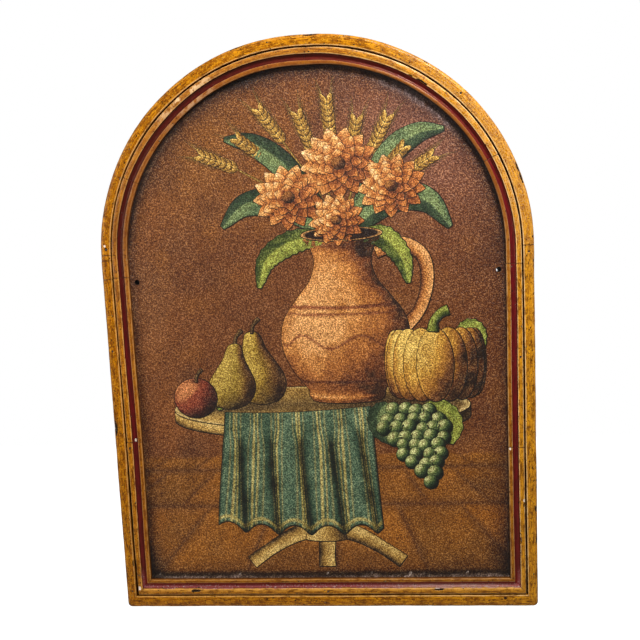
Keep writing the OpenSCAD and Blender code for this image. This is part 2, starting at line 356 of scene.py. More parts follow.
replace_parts(board, "backboard")

# Painted ground
# The real one is a coat of gesso stippled while wet, then oil paint rubbed back so that the dark undercoat
# stays in the hollows: brown above, an ochre tiled floor below, and near black where it meets the moulding,
# partly its own dark border and partly painted shade.
mould_low, mould_high = (np.array(corner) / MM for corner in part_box("moulding_left_upper"))
sight_x = -mould_high[0]
rail_w = np.ptp([corner.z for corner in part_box("band_bottom")]) / MM
band_w = np.ptp([corner.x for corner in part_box("band_left")]) / MM
rail_shift = rail_w - band_w
sight_base = base_z + rail_shift + half_w - sight_x
ground_t = 0.35
fillet_h, fillet_w = 1.5, 3.2
ground_cell, ground_corner = 2.59, 2.0
lap, hole_show = 0.4, 0.3
# The painted floor's tiles run back to a vanishing point. At a depth below it, tile_ahead over the depth
# counts the courses and tile_aside over the depth the tiles to a mm across, every other course half a tile
# aside.
floor_z = -262.0
vanishing_x, vanishing_z = 14, -118.0
tile_ahead, tile_aside = 21000 / 32, 230 / 96


def relief(x, z):
    """Height of the stippled gesso in mm: broad brush lumps of 30 and 12 mm and the stipple's own of 5
    mm. It ran up against the moulding in a fillet, falling as exp(-(distance / fillet_w)^2), with coarser
    dabs beside."""
    edge = np.maximum(from_edge(x, z), 0)
    fillet = fillet_h * np.exp(-((edge / fillet_w) ** 2)) + 0.3 * smooth(15, 5, edge) * lumps(x, z, 4.6, 6)
    return 0.06 * lumps(x, z, 30, 3) + 0.05 * lumps(x, z, 12, 4) + 0.05 * lumps(x, z, 5, 5) + fillet


def mix(a, b, share):
    """Colours a and b, linear or as sRGB codes, mixed by an array of shares."""
    a, b = (np.asarray(linear(c) if isinstance(c, str) else c)[..., :3] for c in (a, b))
    share = np.asarray(share)[..., None]
    return a * (1 - share) + b * share


def glow(x, z, x0, z0, width, height):
    """1 at (x0, z0), falling off as exp(-r^2) with r the distance in widths and heights."""
    return np.exp(-(((x - x0) / width) ** 2) - ((z - z0) / height) ** 2)


def from_edge(x, z, foot=1.0):
    """Distance in mm from the moulding's inner edge, along the arch above the springline. Below, the
    distance from the bottom length is taken foot times."""
    legs = np.minimum(sight_x - np.abs(x), foot * (z - sight_base))
    round_top = sight_x - crown_half - np.hypot(np.maximum(np.abs(x) - crown_half, 0), z - spring_z)
    return np.where(z > spring_z, round_top, legs)


def ground_paint(x, z):
    """Linear colour of the ground at each point: clouded brown above and tiles below floor_z, both with
    soft spots of other browns. It darkens towards the moulding as exp(-(distance / reach)^p), widest under
    the arch and at the lower right, partly the painting's own dark border and partly painted shade. Over
    that lie a painted highlight line on the left, a dark band, a grey strip of dust and painted sheen and
    pale painted glints along the bottom, painted shade in the bottom corners and a grey painted sheen at
    the upper right."""
    cloudy = lumps(x, z, 70, 21) * 0.5 + lumps(x, z, 28, 22) * 0.35 + lumps(x, z, 11, 23) * 0.25
    colour = mix("#5C2E0E", "#7E4414", 0.5 + 0.5 * cloudy)
    for over, share in (
        ("#84501A", 0.6 * glow(x, z, -150, 190, 90, 110)),
        ("#4E2A14", 0.45 * smooth(0.1, 0.9, lumps(x, z, 48, 27))),
        ("#8A5014", 0.4 * smooth(0.2, 0.9, lumps(x, z, 36, 28))),
        ("#744636", 0.85 * glow(x, z, 170, 190, 120, 120)),
        ("#542810", 0.6 * glow(x, z, 225, -90, 60, 180)),
        ("#542C16", 0.5 * glow(x, z, 0, -40, 190, 200)),
        ("#8A5428", 0.5 * glow(x, z, -242, -40, 30, 80)),
        ("#4A2410", 0.4 * glow(x, z, 246, 30, 26, 50)),
    ):
        colour = mix(colour, over, share)
    tiles = mix("#70400A", "#98580E", 0.5 + 0.6 * cloudy)
    away = np.maximum(vanishing_z - z, 20)
    ahead = tile_ahead / away
    course = np.floor(ahead)
    joint_ahead = np.abs(ahead - course - 0.5) * 2
    shift = (x - vanishing_x) * tile_aside / away + 0.5 * (course % 2)
    joint_aside = np.abs(shift - np.floor(shift) - 0.5) * 2
    tone = lumps(course * 7.3, np.floor(shift) * 5.1, 1, 31)
    tiles = tiles * (1 + 0.22 * tone + 0.3 * (ahead - course - 0.5))[..., None]
    shade = np.maximum(smooth(0.5, 1, joint_ahead), smooth(0.74, 1, joint_aside))
    gap = np.maximum(smooth(0.88, 0.985, joint_ahead), smooth(0.95, 0.99, joint_aside))
    tiles = mix(tiles, "#4A2208", np.clip(0.5 * shade + 0.3 * gap, 0, 0.8))
    under_table = 0.7 * glow(x, z, 10, -415, 150, 18) + 0.4 * glow(x, z, 0, -290, 200, 70)
    for over, share in (
        (tiles, smooth(floor_z + 3, floor_z - 3, z + 2 * lumps(x, z, 25, 24))),
        ("#3E1E0A", 0.55 * glow(x, z, 232, -308, 50, 22)),
        ("#5A3410", 0.4 * glow(x, z, -218, -374, 34, 20)),
        ("#A0641C", 0.35 * glow(x, z, 200, -420, 90, 18) * smooth(-1, 1, cloudy)),
        ("#34190A", np.clip(0.6 * under_table, 0, 0.6)),
    ):
        colour = mix(colour, over, share)
    arch = np.degrees(np.arctan2(z - spring_z, np.abs(x)))
    # Painted shade: the darkening towards the moulding is partly the painting's own dark border and partly
    # shade under the moulding, widest under the arch.
    edge = np.maximum(from_edge(x, z, 1.8) + 2.5 * lumps(x, z, 14, 25) + 2.2 * lumps(x, z, 4.2, 29), 0.5)
    up = smooth(10, 45, arch)
    low_right = smooth(0, 1, x) * smooth(-220, -330, z)
    darkest = 0.05 + 0.3 * smooth(12, -6, arch) * smooth(-420, -240, z)
    reach = 14 + 7.5 * up + 11 * low_right
    fade = np.exp(-((np.maximum(edge - 1.5 * up, 0) / reach) ** (1.3 + 0.35 * up)))
    border = darkest + (1 - darkest) * (1 - fade)
    colour = colour * border[..., None] ** np.array([1.0, 1.2, 1.3])
    # A painted highlight: a pale line beside the left leg, 6.2 mm from the moulding.
    line_along = smooth(-120, -50, z) * smooth(240, 170, z) * smooth(0, -1, x)
    line = np.exp(-(((from_edge(x, z) - 6.2) / 1.4) ** 2)) * line_along
    foot = z - sight_base + 1.2 * lumps(x, 0 * z, 22, 26)
    # Along the bottom, a grey strip of dust and painted sheen, and pale specks that are painted glints.
    broken = smooth(-0.7, 0.9, lumps(x, z, 5.5, 32)) * smooth(-0.9, 0.4, lumps(x, 0 * z, 60, 34))
    # Painted shade in both bottom corners of the field.
    corner = glow(x, z, -sight_x, sight_base, 26, 40) + 0.6 * glow(x, z, sight_x, sight_base, 18, 26)
    # A grey painted sheen near the moulding at the upper right haunch.
    grey_sheen = smooth(34, 48, arch) * smooth(72, 60, arch) * smooth(0, 60, x)
    grey_sheen = grey_sheen * glow(from_edge(x, z), 0, 10, 0, 4.5, 1)
    # Layers: the painted highlight line on the left; a dark band along the bottom, then a grey strip of dust
    # and painted sheen with pale painted glints; painted shade in the bottom corners; and a grey painted
    # sheen at the upper right.
    for over, share in (
        ("#8A6450", 0.22 * line),
        ("#1E110A", 0.88 * smooth(14, 8, foot)),
        (mix("#3C2A22", "#806A5E", broken), 0.9 * smooth(5.4, 3.6, foot)),
        ("#C8B4A4", 0.8 * smooth(0.72, 0.92, lumps(x, z, 3.3, 36)) * smooth(9, 6, foot)),
        ("#100A07", np.clip(0.9 * corner, 0, 0.9)),
        ("#7E6C6A", 0.58 * grey_sheen * smooth(-1.0, 0.6, lumps(x, z, 4.4, 33))),
    ):
        colour = mix(colour, over, share)
    return colour


def stippled_paint(name, grain, light=1.0, depth=1.2, rub=1.0, crisp=1.0):
    """Oil paint over stippled gesso under a satin varnish. Its colour is the paint attribute's. The
    crests of the grain are rubbed lighter, its hollows keep the dark undercoat, and both are raised by
    the bump. A crisp grain has sharp borders, a softer one fine pale specks on its highest crests instead,
    which are painted glints."""
    material, tree, shader = new_material(name)
    place = add(tree, "TexCoord", out="Object")
    flat = add(tree, "Mapping", {"Vector": place, "Scale": (1, 0.02, 1)})
    paint = add(tree, "Attribute", out="Color", attribute_name="paint")
    strength = add(tree, "SeparateXYZ", {0: paint}, "X")
    # Columns: size of the lumps in mm, detail, roughness and distortion.
    worms, patches, specks = (
        add(tree, "TexNoise", {
            "Vector": flat, "Scale": 1 / (size * MM), "Detail": detail, "Roughness": rough,
            "Distortion": bent,
        })
        for size, detail, rough, bent in ((grain, 2, 0.55, 0.5), (34, 3, 0.5, 0), (1.5, 0, 0.5, 0))
    )
    crest = add(tree, "MapRange", {0: worms, 1: 0.54, 2: 0.54 + 0.06 / crisp})
    # Painted glints: pale specks on the highest crests of a softer grain.
    specks = add(tree, "MapRange", {0: specks, 1: 0.69, 2: 0.76, 4: 1 - crisp})
    crest = add(tree, "Math", {0: crest, 1: specks}, operation="ADD")
    rubbed, under = (
        add(tree, "VectorMath", {0: paint, 1: times, 2: plus}, operation="MULTIPLY_ADD")
        for times, plus in (
            ((2.0, 2.2, 2.6), (0.1 * rub, 0.07 * rub, 0.04)), ((0.3, 0.2, 0.12), (0.004, 0.001, 0)),
        )
    )
    wire(tree, shader, {
        "Base Color": layered(tree, paint, [
            (rubbed, (crest,), (strength, 0.004, 0.05, 0.12, 1), (patches, 0.38, 0.62, 0.6 * light, light)),
            (under, (worms, 0.48, 0.48 - 0.07 / crisp), (patches, 0.38, 0.62, 1, 0.6)),
        ]),
        "Roughness": add(tree, "MapRange", {0: worms, 1: 0.35, 2: 0.65, 3: 0.6, 4: 0.24}),
        "Normal": add(tree, "Bump", {"Strength": 1.0, "Distance": depth * MM, "Height": worms}),
        "Specular IOR Level": 0.28,
    })
    return material


# Satin-varnished oil paint: low sheen, a warm glaze in the hollows and small glints on the crests, partly
# from the varnish and partly painted as pale specks. The stippling brush left a grain of about 2 mm.
ground_oil = stippled_paint("stippled_ground_oil", 1.9, light=1.05, rub=1.15, crisp=0.75)
x, z = arch_grid(sight_x + lap, sight_base - lap, ground_corner, ground_cell)
x, z = open_holes(x, z, screw_r + hole_show, ground_rings)
front = face_y - ground_t - relief(x, z)
ground_layers = [(x, front, z), (x, np.full(x.shape, face_y + 0.1), z)]
points, quads, rings = arch_shell(ground_layers, ground_rings, True)
paint = np.tile(ground_paint(x, z).reshape(-1, 3), (2, 1))
make_piece("painted_ground", points, quads, rings, ground_oil, {"paint": paint})

# Painted picture
# A still life of the harvest, laid over the ground in films of oil paint, each thing a few hundredths of a
# millimetre over the one behind it: a table with a striped cloth, a jug of garden flowers and wheat, a
# pumpkin, pears, an apple and grapes. The light comes from the upper left.
film_t = 0.05
light_x, light_y, light_z = -0.55, 0.66, 0.52


def film_colour(tone, *codes):
    """Linear colours for tones from 0, the first sRGB code, to 1, the last one, evenly spaced between."""
    stops = np.linspace(0, 1, len(codes))
    ramp = np.array([linear(code)[:3] for code in codes])
    return np.stack([np.interp(tone, stops, ramp[:, k]) for k in range(3)], -1)


def lit(nx, nz, x, z, seed, uneven=1.0):
    """Tone of a rounded form from its normal's parts across and up, dabbed unevenly as by a round
    brush."""
    ny = np.sqrt(np.clip(1 - nx**2 - nz**2, 0, 1))
    tone = 0.06 + 0.94 * np.clip(light_x * nx + light_z * nz + light_y * ny, 0, 1)
    dabs = 0.09 * lumps(x, z, 17, seed) + 0.08 * lumps(x, z, 7, seed + 1)
    dabs = dabs + 0.05 * lumps(x, z, 3.4, seed + 2)
    return np.clip(tone + uneven * dabs, 0, 1)


def smooth_curve(points, count):
    """count + 1 points of a curve through the given ones, a cubic between each two with the slope at each
    given point half the step between its neighbours."""
    points = np.asarray(points, float)
    slope = np.gradient(points, axis=0)
    t = np.linspace(0, len(points) - 1, count + 1)
    i = np.minimum(t.astype(int), len(points) - 2)
    f = (t - i)[:, None]
    return (
        (2 * f**3 - 3 * f**2 + 1) * points[i] + (f**3 - 2 * f**2 + f) * slope[i]
        + (3 * f**2 - 2 * f**3) * points[i + 1] + (f**3 - f**2) * slope[i + 1]
    )


def disc(centre, half, count):
    """Grid over an ellipse with the half axes half: x, z and the place in the unit disc."""
    a, b = square_to_disc(*np.meshgrid(np.linspace(-1, 1, count + 1), np.linspace(-1, 1, count + 1)))
    return centre[0] + half[0] * a, centre[1] + half[1] * b, a, b


def turned(centre, profile, tilt, rows, columns, lean=0.0):
    """Grid over a turned form seen from a little above: its profile of (height, radius) is smoothed, each
    circle shows its front half as half an ellipse of the height tilt times its radius. Returns x, z and
    the normal's parts across and up."""
    height, radius = smooth_curve(profile, rows).T[:, :, None]
    angle = np.linspace(-math.pi / 2, math.pi / 2, columns + 1)[None, :]
    x = centre[0] + radius * np.sin(angle) + lean * height
    z = centre[1] + height - tilt * radius * np.cos(angle)
    slope = np.gradient(radius[:, 0]) / np.maximum(np.gradient(height[:, 0]), 0.02)
    flat = 1 / np.sqrt(1 + slope**2)
    return x, z, np.sin(angle) * flat[:, None], (-slope * flat)[:, None] + 0 * angle


def stroke(path, half_widths, rows, columns):
    """Grid along a smoothed path, with half widths spread evenly along it: x, z, place along from 0 to 1
    and place across from -1, on the left, to 1."""
    line_x, line_z = smooth_curve(path, rows).T
    t = np.linspace(0, 1, rows + 1)
    half = np.interp(t, np.linspace(0, 1, len(half_widths)), half_widths)
    run_x, run_z = np.gradient(line_x), np.gradient(line_z)
    length = np.maximum(np.hypot(run_x, run_z), 1e-6)
    s = np.linspace(-1, 1, columns + 1)[None, :]
    x = line_x[:, None] + s * (half * run_z / length)[:, None]
    z = line_z[:, None] - s * (half * run_x / length)[:, None]
    return x, z, t[:, None] + 0 * s, s + 0 * t[:, None]


def films(name, parts, material, ink=1.3):
    """One piece of many paint films. Each is x, z, its rise in films and its colour, on a grid or on a
    stack of grids of one size. Round its edge a step leads down to a dark line, ink mm wide on average
    and broader away from the light, and walls join that to a flat back inside the ground."""
    points, quads, rings, paints = [], [], [], []
    count = 0
    for x, z, rise, colour in parts:
        rows, columns = x.shape[-2:]
        colour = np.broadcast_to(colour, (*x.shape, 3)).reshape(-1, rows, columns, 3)
        rise = np.broadcast_to(rise, x.shape).reshape(-1, rows, columns)
        x, z = x.reshape(-1, rows, columns), z.reshape(-1, rows, columns)
        front = np.stack([x, face_y - ground_t - relief(x, z) - rise * film_t, z], -1)
        cell_a, cell_b = front[:, 1:, :-1] - front[:, :-1, :-1], front[:, :-1, 1:] - front[:, :-1, :-1]
        turn = (cell_a[..., 0] * cell_b[..., 2] - cell_a[..., 2] * cell_b[..., 0]).sum((1, 2))
        front = np.where((turn < 0)[:, None, None, None], front[:, :, ::-1], front)
        colour = np.where((turn < 0)[:, None, None, None], colour[:, :, ::-1], colour)
        number = np.arange(x.size).reshape(x.shape)
        loop = np.concatenate([
            number[:, 0, :-1], number[:, :-1, -1], number[:, -1, :0:-1], number[:, :0:-1, 0],
        ], 1)
        edge = front.reshape(-1, 3)[loop]
        ahead = np.roll(edge, -1, 1) - np.roll(edge, 1, 1)
        length = np.maximum(np.hypot(ahead[..., 0], ahead[..., 2]), 1e-6)[..., None]
        out = np.stack([-ahead[..., 2], ahead[..., 0]], -1) / length
        width = ink * (1 - 0.55 * (light_x * out[..., :1] + light_z * out[..., 1:]))
        step = edge + (0, 0.4 * film_t, 0)
        line_out = step + np.insert(out * width, 1, 0, -1)
        back = line_out * (1, 0, 1) + (0, face_y - 0.1, 0)
        points += [front.reshape(-1, 3), *(ring.reshape(-1, 3) for ring in (step, line_out, back))]
        dark = np.broadcast_to(linear("#150D07")[:3], (3 * loop.size, 3))
        paints += [colour.reshape(-1, 3), dark]
        ring_number = np.arange(loop.size).reshape(loop.shape)
        around = [loop] + [x.size + k * loop.size + ring_number for k in range(3)]
        grid = [number[:, :-1, :-1], number[:, :-1, 1:], number[:, 1:, 1:], number[:, 1:, :-1]]
        quads.append(count + np.stack(grid, -1).reshape(-1, 4))
        for near, far in zip(around, around[1:]):
            wall = [near, far, np.roll(far, -1, 1), np.roll(near, -1, 1)]
            quads.append(count + np.stack(wall, -1).reshape(-1, 4))
        rings += list(count + around[-1][:, ::-1])
        count += x.size + 3 * loop.size
    points, quads, paints = (np.concatenate(arrays) for arrays in (points, quads, paints))
    make_piece(name, points, quads, rings, material, {"paint": paints})


def edged(colour, across, code, width=0.1):
    """A colour with a line of another along both edges of a film, where |across| nears 1."""
    return mix(colour, code, 0.85 * smooth(1 - 2 * width, 1 - 0.6 * width, np.abs(across)))


# Oil colour dabbed over the stippled gesso: strong light crests and dark hollows in a grain of about 2 mm.
picture_oil = stippled_paint("dabbed_picture_oil", 1.7, rub=1.2)
cloth_oil = stippled_paint("dabbed_cloth_oil", 1.7, rub=1.9)

# Round pedestal table in khaki and gold: a turned column on three feet, a rim and an oval top.
table_top, table_half = (0.0, -190.0), (214.0, 31.0)
khaki = ("#1E1206", "#4E3412", "#8A6428", "#A8803A", "#C4A058")
table = []
for path, half_widths, seed in (
    ([(-14, -372), (-50, -384), (-84, -404), (-112, -424)], (13, 11, 9, 10), 201),
    ([(14, -372), (50, -384), (84, -404), (112, -424)], (13, 11, 9, 10), 202),
    ([(0, -370), (1, -391), (0, -413), (0, -431)], (14, 12, 11, 12), 203),
):
    x, z, along, across = stroke(path, half_widths, 40, 12)
    tone = lit(0.9 * across, 0.2 - 0 * across, x, z, seed)
    table.append((x, z, 1, film_colour(tone, *khaki)))
column_profile = [
    (0, 30), (18, 24), (30, 15), (60, 14), (84, 30), (104, 38), (128, 30), (150, 15), (166, 20), (190, 34),
]
x, z, nx, nz = turned((0, -388), column_profile, 0.14, 90, 26)
tone = lit(nx, nz, x, z, 204)
table.append((x, z, 2, film_colour(tone, *khaki)))
angle = np.linspace(-90, 90, 150)[None, :] * math.pi / 180
fall = np.linspace(0, 1, 10)[:, None]
x = table_top[0] + table_half[0] * np.sin(angle) + 0 * fall
z = table_top[1] - table_half[1] * np.cos(angle) - 15 * fall
tone = lit(0.95 * np.sin(angle) + 0 * fall, 0.35 - 0.9 * fall + 0 * angle, x, z, 205)
rim = film_colour(tone, *khaki)
table.append((x, z, 3, mix(rim, "#23160C", 0.8 * smooth(0.8, 1.0, fall + 0 * angle))))
x, z, a, b = disc(table_top, table_half, 90)
tone = 0.62 - 0.2 * a + 0.12 * lumps(x, z * 2.5, 26, 206) + 0.1 * lumps(x, z * 2, 9, 207)
under_fruit = (
    glow(x, z, 44, -186, 96, 15) + glow(x, z, 166, -184, 82, 13) + glow(x, z, -104, -186, 62, 11)
    + 0.6 * glow(x, z, -164, -190, 40, 9)
)
top = film_colour(np.clip(tone, 0, 1), *khaki)
top = mix(top, "#2C1C0E", np.clip(0.85 * under_fruit, 0, 0.85))
table.append((x, z, 4, edged(top, np.hypot(a, b), "#C0A060", 0.03)))
films("picture_table", table, picture_oil)

# Green cloth over the table's front edge, in five soft folds with double straw-yellow stripes.
across, fall = np.meshgrid(np.linspace(-1, 1, 171), np.linspace(0, 1, 121))
hang = smooth(0.12, 0.3, fall)
fold = 5 * math.pi * across + 0.7 * np.sin(3 * fall + 1) + 0.5
x = -34 + across * (106 + 16 * fall) + 3.5 * hang * np.cos(fold)
lip = table_top[1] - table_half[1] * np.sqrt(np.clip(1 - ((x - table_top[0]) / table_half[0]) ** 2, 0, 1))
z = lip + 24 - 178 * fall - 7 * fall * hang * np.sin(fold) * smooth(0.4, 1, fall) + 5 * (1 - fall) * across
tone = lit(0.75 * hang * np.sin(fold), 0.7 * (1 - hang) + 0.05, x, z, 211, 1.3)
green = film_colour(tone, "#080E0A", "#182A1E", "#2A4634", "#47624A")
straw = film_colour(tone, "#2A220C", "#62521E", "#94803C", "#B8A25C")
stripe = np.abs((across * 3.5 + 0.5) % 1 - 0.5)
in_stripe = smooth(0.042, 0.024, np.abs(stripe - 0.07)) + 0.45 * smooth(0.035, 0.015, np.abs(stripe - 0.26))
cloth = mix(green, straw, np.clip(in_stripe, 0, 0.9))
hem = smooth(0.93, 0.945, fall) * smooth(0.975, 0.96, fall)
cloth = mix(cloth, straw, 0.8 * hem)
rim_line = np.maximum(smooth(0.985, 1.0, fall), smooth(0.975, 1.0, np.abs(across)))
cloth = mix(cloth, "#0E140D", 0.85 * rim_line)
films("picture_cloth", [(x, z, 6, cloth)], cloth_oil)

# Wheat from the jug's mouth: bent stems, and on each an ear of seven pairs of grains with long awns.
jug_foot, jug_mouth = (40.0, -178.0), (40.0, 58.0)
stems, ears, awns = [], [], []
for k in range(-4, 5):
    lean = math.radians(13 * k - 4)
    forward = np.array([math.sin(lean), math.cos(lean)])
    start = np.array([jug_mouth[0], jug_mouth[1] - spring_z])
    along = start @ forward
    clear = math.sqrt(along**2 - start @ start + (sight_x - 12) ** 2) - along
    tip = np.array(jug_mouth) + forward * (clear - 98 - (20 if k % 2 else 0))
    root = np.array([jug_mouth[0] + 2.5 * k, jug_mouth[1] - 8])
    bend = (root + tip) / 2 + np.array([-5.0 * k, 0])
    x, z, along, across = stroke([root, bend, tip], (1.6, 1.2, 1.0), 24, 2)
    stems.append((x, z, 1, film_colour(0.6 - 0.4 * across, "#3A260C", "#7C5C20", "#AC8838")))
    heading = lean + 0.05 * k
    axis = math.sin(heading), math.cos(heading)
    aside = axis[1], -axis[0]
    pair, side = (v.ravel()[:, None, None] for v in np.meshgrid(np.arange(7), (-1, 1), indexing="ij"))
    t, s = np.meshgrid(np.linspace(0, 1, 7), np.linspace(-1, 1, 5), indexing="ij")
    splay = math.radians(22) * side
    out, over = 15 * t, 3.6 * s * np.sin(np.pi * (0.06 + 0.88 * t)) ** 0.7
    up = 8 * pair + out * np.cos(splay) - over * np.sin(splay)
    off = side * 1.6 + out * np.sin(splay) + over * np.cos(splay)
    x, z = tip[0] + axis[0] * up + aside[0] * off, tip[1] + axis[1] * up + aside[1] * off
    tone = np.clip(0.72 - 0.34 * s * side - 0.3 * (1 - t) + 0.12 * lumps(x, z, 4, 221), 0, 1)
    grain = film_colour(tone, "#301C08", "#7C5418", "#B08230", "#D4AC58")
    ears.append((x, z, (2 + 0.5 * pair) + 0 * x, grain))
    t, s = np.meshgrid(np.linspace(0, 1, 5), (-1.0, 1.0), indexing="ij")
    up = 8 * pair + 12 + 26 * t * np.cos(0.6 * splay)
    off = side * (6.0 + 7 * t**1.4) + 0.45 * s * (1.15 - t)
    x, z = tip[0] + axis[0] * up + aside[0] * off, tip[1] + axis[1] * up + aside[1] * off
    awns.append((x, z, 1.5, film_colour(0.75 - 0.3 * t + 0 * x, "#3A260C", "#7A5C24", "#A88A40")))
films("picture_wheat_straw", stems + awns, picture_oil, 0.3)
films("picture_wheat_ears", ears, picture_oil, 0.7)


def leaf(path, half, lobes, rise, seed, codes):
    """A leaf along a path: its half width swells as a sine to the given one, with lobes small teeth down
    each edge. It has a pale midrib and veins, one half lit more than the other."""
    t = np.linspace(0, 1, 37)
    teeth = 1 - 0.14 * np.abs(np.sin(lobes * math.pi * t)) if lobes else 1 + 0 * t
    width = half * np.maximum(np.sin(math.pi * (0.03 + 0.94 * t**0.8)) ** 0.75 * teeth, 0.05)
    x, z, along, across = stroke(path, width, 36, 10)
    tone = 0.5 - 0.22 * np.sign(across) + 0.2 * (1 - np.abs(across)) + 0.16 * lumps(x, z, 9, seed)
    vein = np.abs((along * 7 - np.abs(across) * 1.3) % 1 - 0.5) * 2
    tone = np.clip(tone + 0.2 * smooth(0.2, 0.05, vein) * (np.abs(across) < 0.85), 0, 1)
    colour = film_colour(tone, *codes)
    midrib = smooth(0.16, 0.05, np.abs(across)) * smooth(0.97, 0.85, along)
    return x, z, rise, mix(colour, codes[-1], 0.8 * midrib)


# Leaves round the jug's mouth: four long smooth ones, and two toothed ones that hang over its shoulders.
grey_green = ("#0C140C", "#22341F", "#3E5434", "#6E7C48")
yellow_green = ("#141C08", "#2E3E12", "#5C661E", "#94963A")
leaves = [
    leaf([(30, 58), (-40, 100), (-92, 104), (-128, 74)], 19, 0, 3, 231, grey_green),
    leaf([(52, 60), (112, 104), (160, 100), (192, 62)], 20, 0, 3, 232, grey_green),
    leaf([(30, 62), (-30, 148), (-76, 186), (-118, 196)], 17, 0, 3, 233, grey_green),
    leaf([(50, 62), (104, 156), (146, 190), (186, 196)], 17, 0, 3, 234, grey_green),
    leaf([(24, 54), (-26, 50), (-66, 26), (-80, -14)], 18, 11, 8, 235, yellow_green),
    leaf([(62, 52), (98, 52), (124, 22), (132, -14)], 17, 11, 8, 236, yellow_green),
]
films("picture_foliage", leaves, picture_oil)

# Four apricot garden flowers: rings of petals round a dark domed heart, the inner rings over the outer
# ones. Each ring has its number of petals, and its start and their length as shares of the radius.
petal_rings = [(13, 0.4, 0.6), (11, 0.3, 0.5), (9, 0.18, 0.42), (6, 0.08, 0.32)]
flowers = []
for centre, radius, seed in (
    ((-32, 112), 50, 241), ((112, 122), 48, 242), ((40, 156), 54, 243), ((34, 78), 40, 244),
):
    for ring, (count, start, length) in enumerate(petal_rings):
        turn = (2 * math.pi * (np.arange(count) + 0.5 * ring) / count + seed)[:, None, None]
        t, s = np.meshgrid(np.linspace(0, 1, 11), np.linspace(-1, 1, 9), indexing="ij")
        reach = radius * (start + length * t * (1 - 0.08 * s**2) + 0.02 * np.sin(7 * turn))
        swell = np.maximum(np.sin(math.pi * (0.12 + 0.82 * t)), 0.1) ** 0.8
        half = 0.98 * math.pi * radius * (start + length * 0.75) / count * swell
        x = centre[0] + reach * np.cos(turn) - half * s * np.sin(turn)
        z = centre[1] + 0.9 * (reach * np.sin(turn) + half * s * np.cos(turn))
        facing = light_x * np.cos(turn) + light_z * np.sin(turn)
        tone = 0.16 + 0.6 * t + 0.26 * facing * (0.3 + t) - 0.2 * np.abs(s) ** 3
        tone = tone + 0.1 * (np.cos(9 * s) - 1) * (1 - t) + 0.12 * lumps(x, z, 5, seed)
        petal = film_colour(np.clip(tone, 0, 1), "#2E1006", "#7A3812", "#B06426", "#D09450", "#E2B47C")
        rise = (9 + 1.2 * ring + 0.25 * (np.arange(count) % 2)[:, None, None])
        flowers.append((x, z, rise + 0 * x, petal))
    x, z, a, b = disc(centre, (0.17 * radius, 0.15 * radius), 12)
    heart = film_colour(lit(0.9 * a, 0.9 * b, x, z, seed + 9, 1.6), "#180A04", "#4E220A", "#8E541C")
    flowers.append((x, z, 14, heart))
films("picture_flowers", flowers, picture_oil, 0.8)

# Peach-orange earthenware jug with a strap handle on its right, three lines and a wave of brown slip, and a
# dark open mouth.
jug_profile = [
    (0, 50), (6, 54), (16, 56), (46, 78), (82, 91), (118, 86), (150, 64), (172, 47), (196, 40), (216, 44),
    (230, 55), (236, 57),
]
clay = ("#240C04", "#66300F", "#9A5820", "#B67434", "#D09252")
jug = []
handle = [(88, 30), (122, 42), (152, 24), (158, -12), (146, -52), (120, -82)]
x, z, along, across = stroke(handle, (8, 9, 9, 8.5, 8, 9), 60, 10)
jug.append((x, z, 7, film_colour(lit(0.85 * across, 0.2 + 0 * x, x, z, 251), *clay)))
x, z, nx, nz = turned(jug_foot, jug_profile, 0.13, 150, 110)
tone = lit(nx, nz, x, z, 252, 1.2)
tone = np.clip(tone + 0.35 * glow(x, z, 4, -84, 20, 34) + 0.12 * glow(x, z, 92, -100, 12, 60), 0, 1)
body = film_colour(tone, *clay)
up = z - jug_foot[1]
ring_at = up + 0.13 * 80 * np.sqrt(np.clip(1 - nx**2, 0, 1))
wave = 92 + 9 * np.sin((np.arcsin(np.clip(nx, -1, 1)) * 6.5))
slip_colour = film_colour(tone, "#1E0804", "#521A0A", "#7A3014")
for height, wide, narrow in ((142, 3.4, 2.2), (132, 2.2, 1.2), (34, 2.4, 1.4), (wave, 2.6, 1.5)):
    body = mix(body, slip_colour, 0.85 * smooth(wide, narrow, np.abs(ring_at - height)))
jug.append((x, z, 8, body))
x, z, a, b = disc(jug_mouth, (57, 9.5), 36)
mouth = film_colour(0.4 - 0.4 * b, "#0C0402", "#2A1208")
jug.append((x, z, 9, edged(mouth, np.hypot(a, b), "#C08848", 0.05)))
films("picture_jug", jug, picture_oil)

# Golden pumpkin: nine ribs, each a bulging oval laid from the sides inwards, and a cut stem.
pumpkin_at = (166.0, -132.0)
ribs = []
for k in (-4, 4, -3, 3, -2, 2, -1, 1, 0):
    swing = math.radians(19.5 * k)
    centre = (pumpkin_at[0] + 58 * math.sin(swing), pumpkin_at[1] + 4 * (1 - math.cos(swing)))
    half = (11 + 15 * math.cos(swing), 53 - 7 * (1 - math.cos(swing)))
    x, z, a, b = disc(centre, half, 26)
    nx = 0.75 * (x - pumpkin_at[0]) / 84 + 0.55 * a
    tone = lit(np.clip(nx, -1, 1), 0.75 * b, x, z, 261 + k)
    colour = film_colour(tone, "#1E0C04", "#5E300C", "#97601A", "#B8842C", "#D0A850")
    ribs.append((x, z, (12.5 - 0.8 * abs(k)), colour))
x, z, along, across = stroke([(164, -84), (166, -70), (176, -58), (186, -54)], (8, 6, 6, 7), 20, 8)
ribs.append((x, z, 14, film_colour(lit(across, 0.2 + 0 * x, x, z, 271), *yellow_green)))
films("picture_pumpkin", ribs, picture_oil)

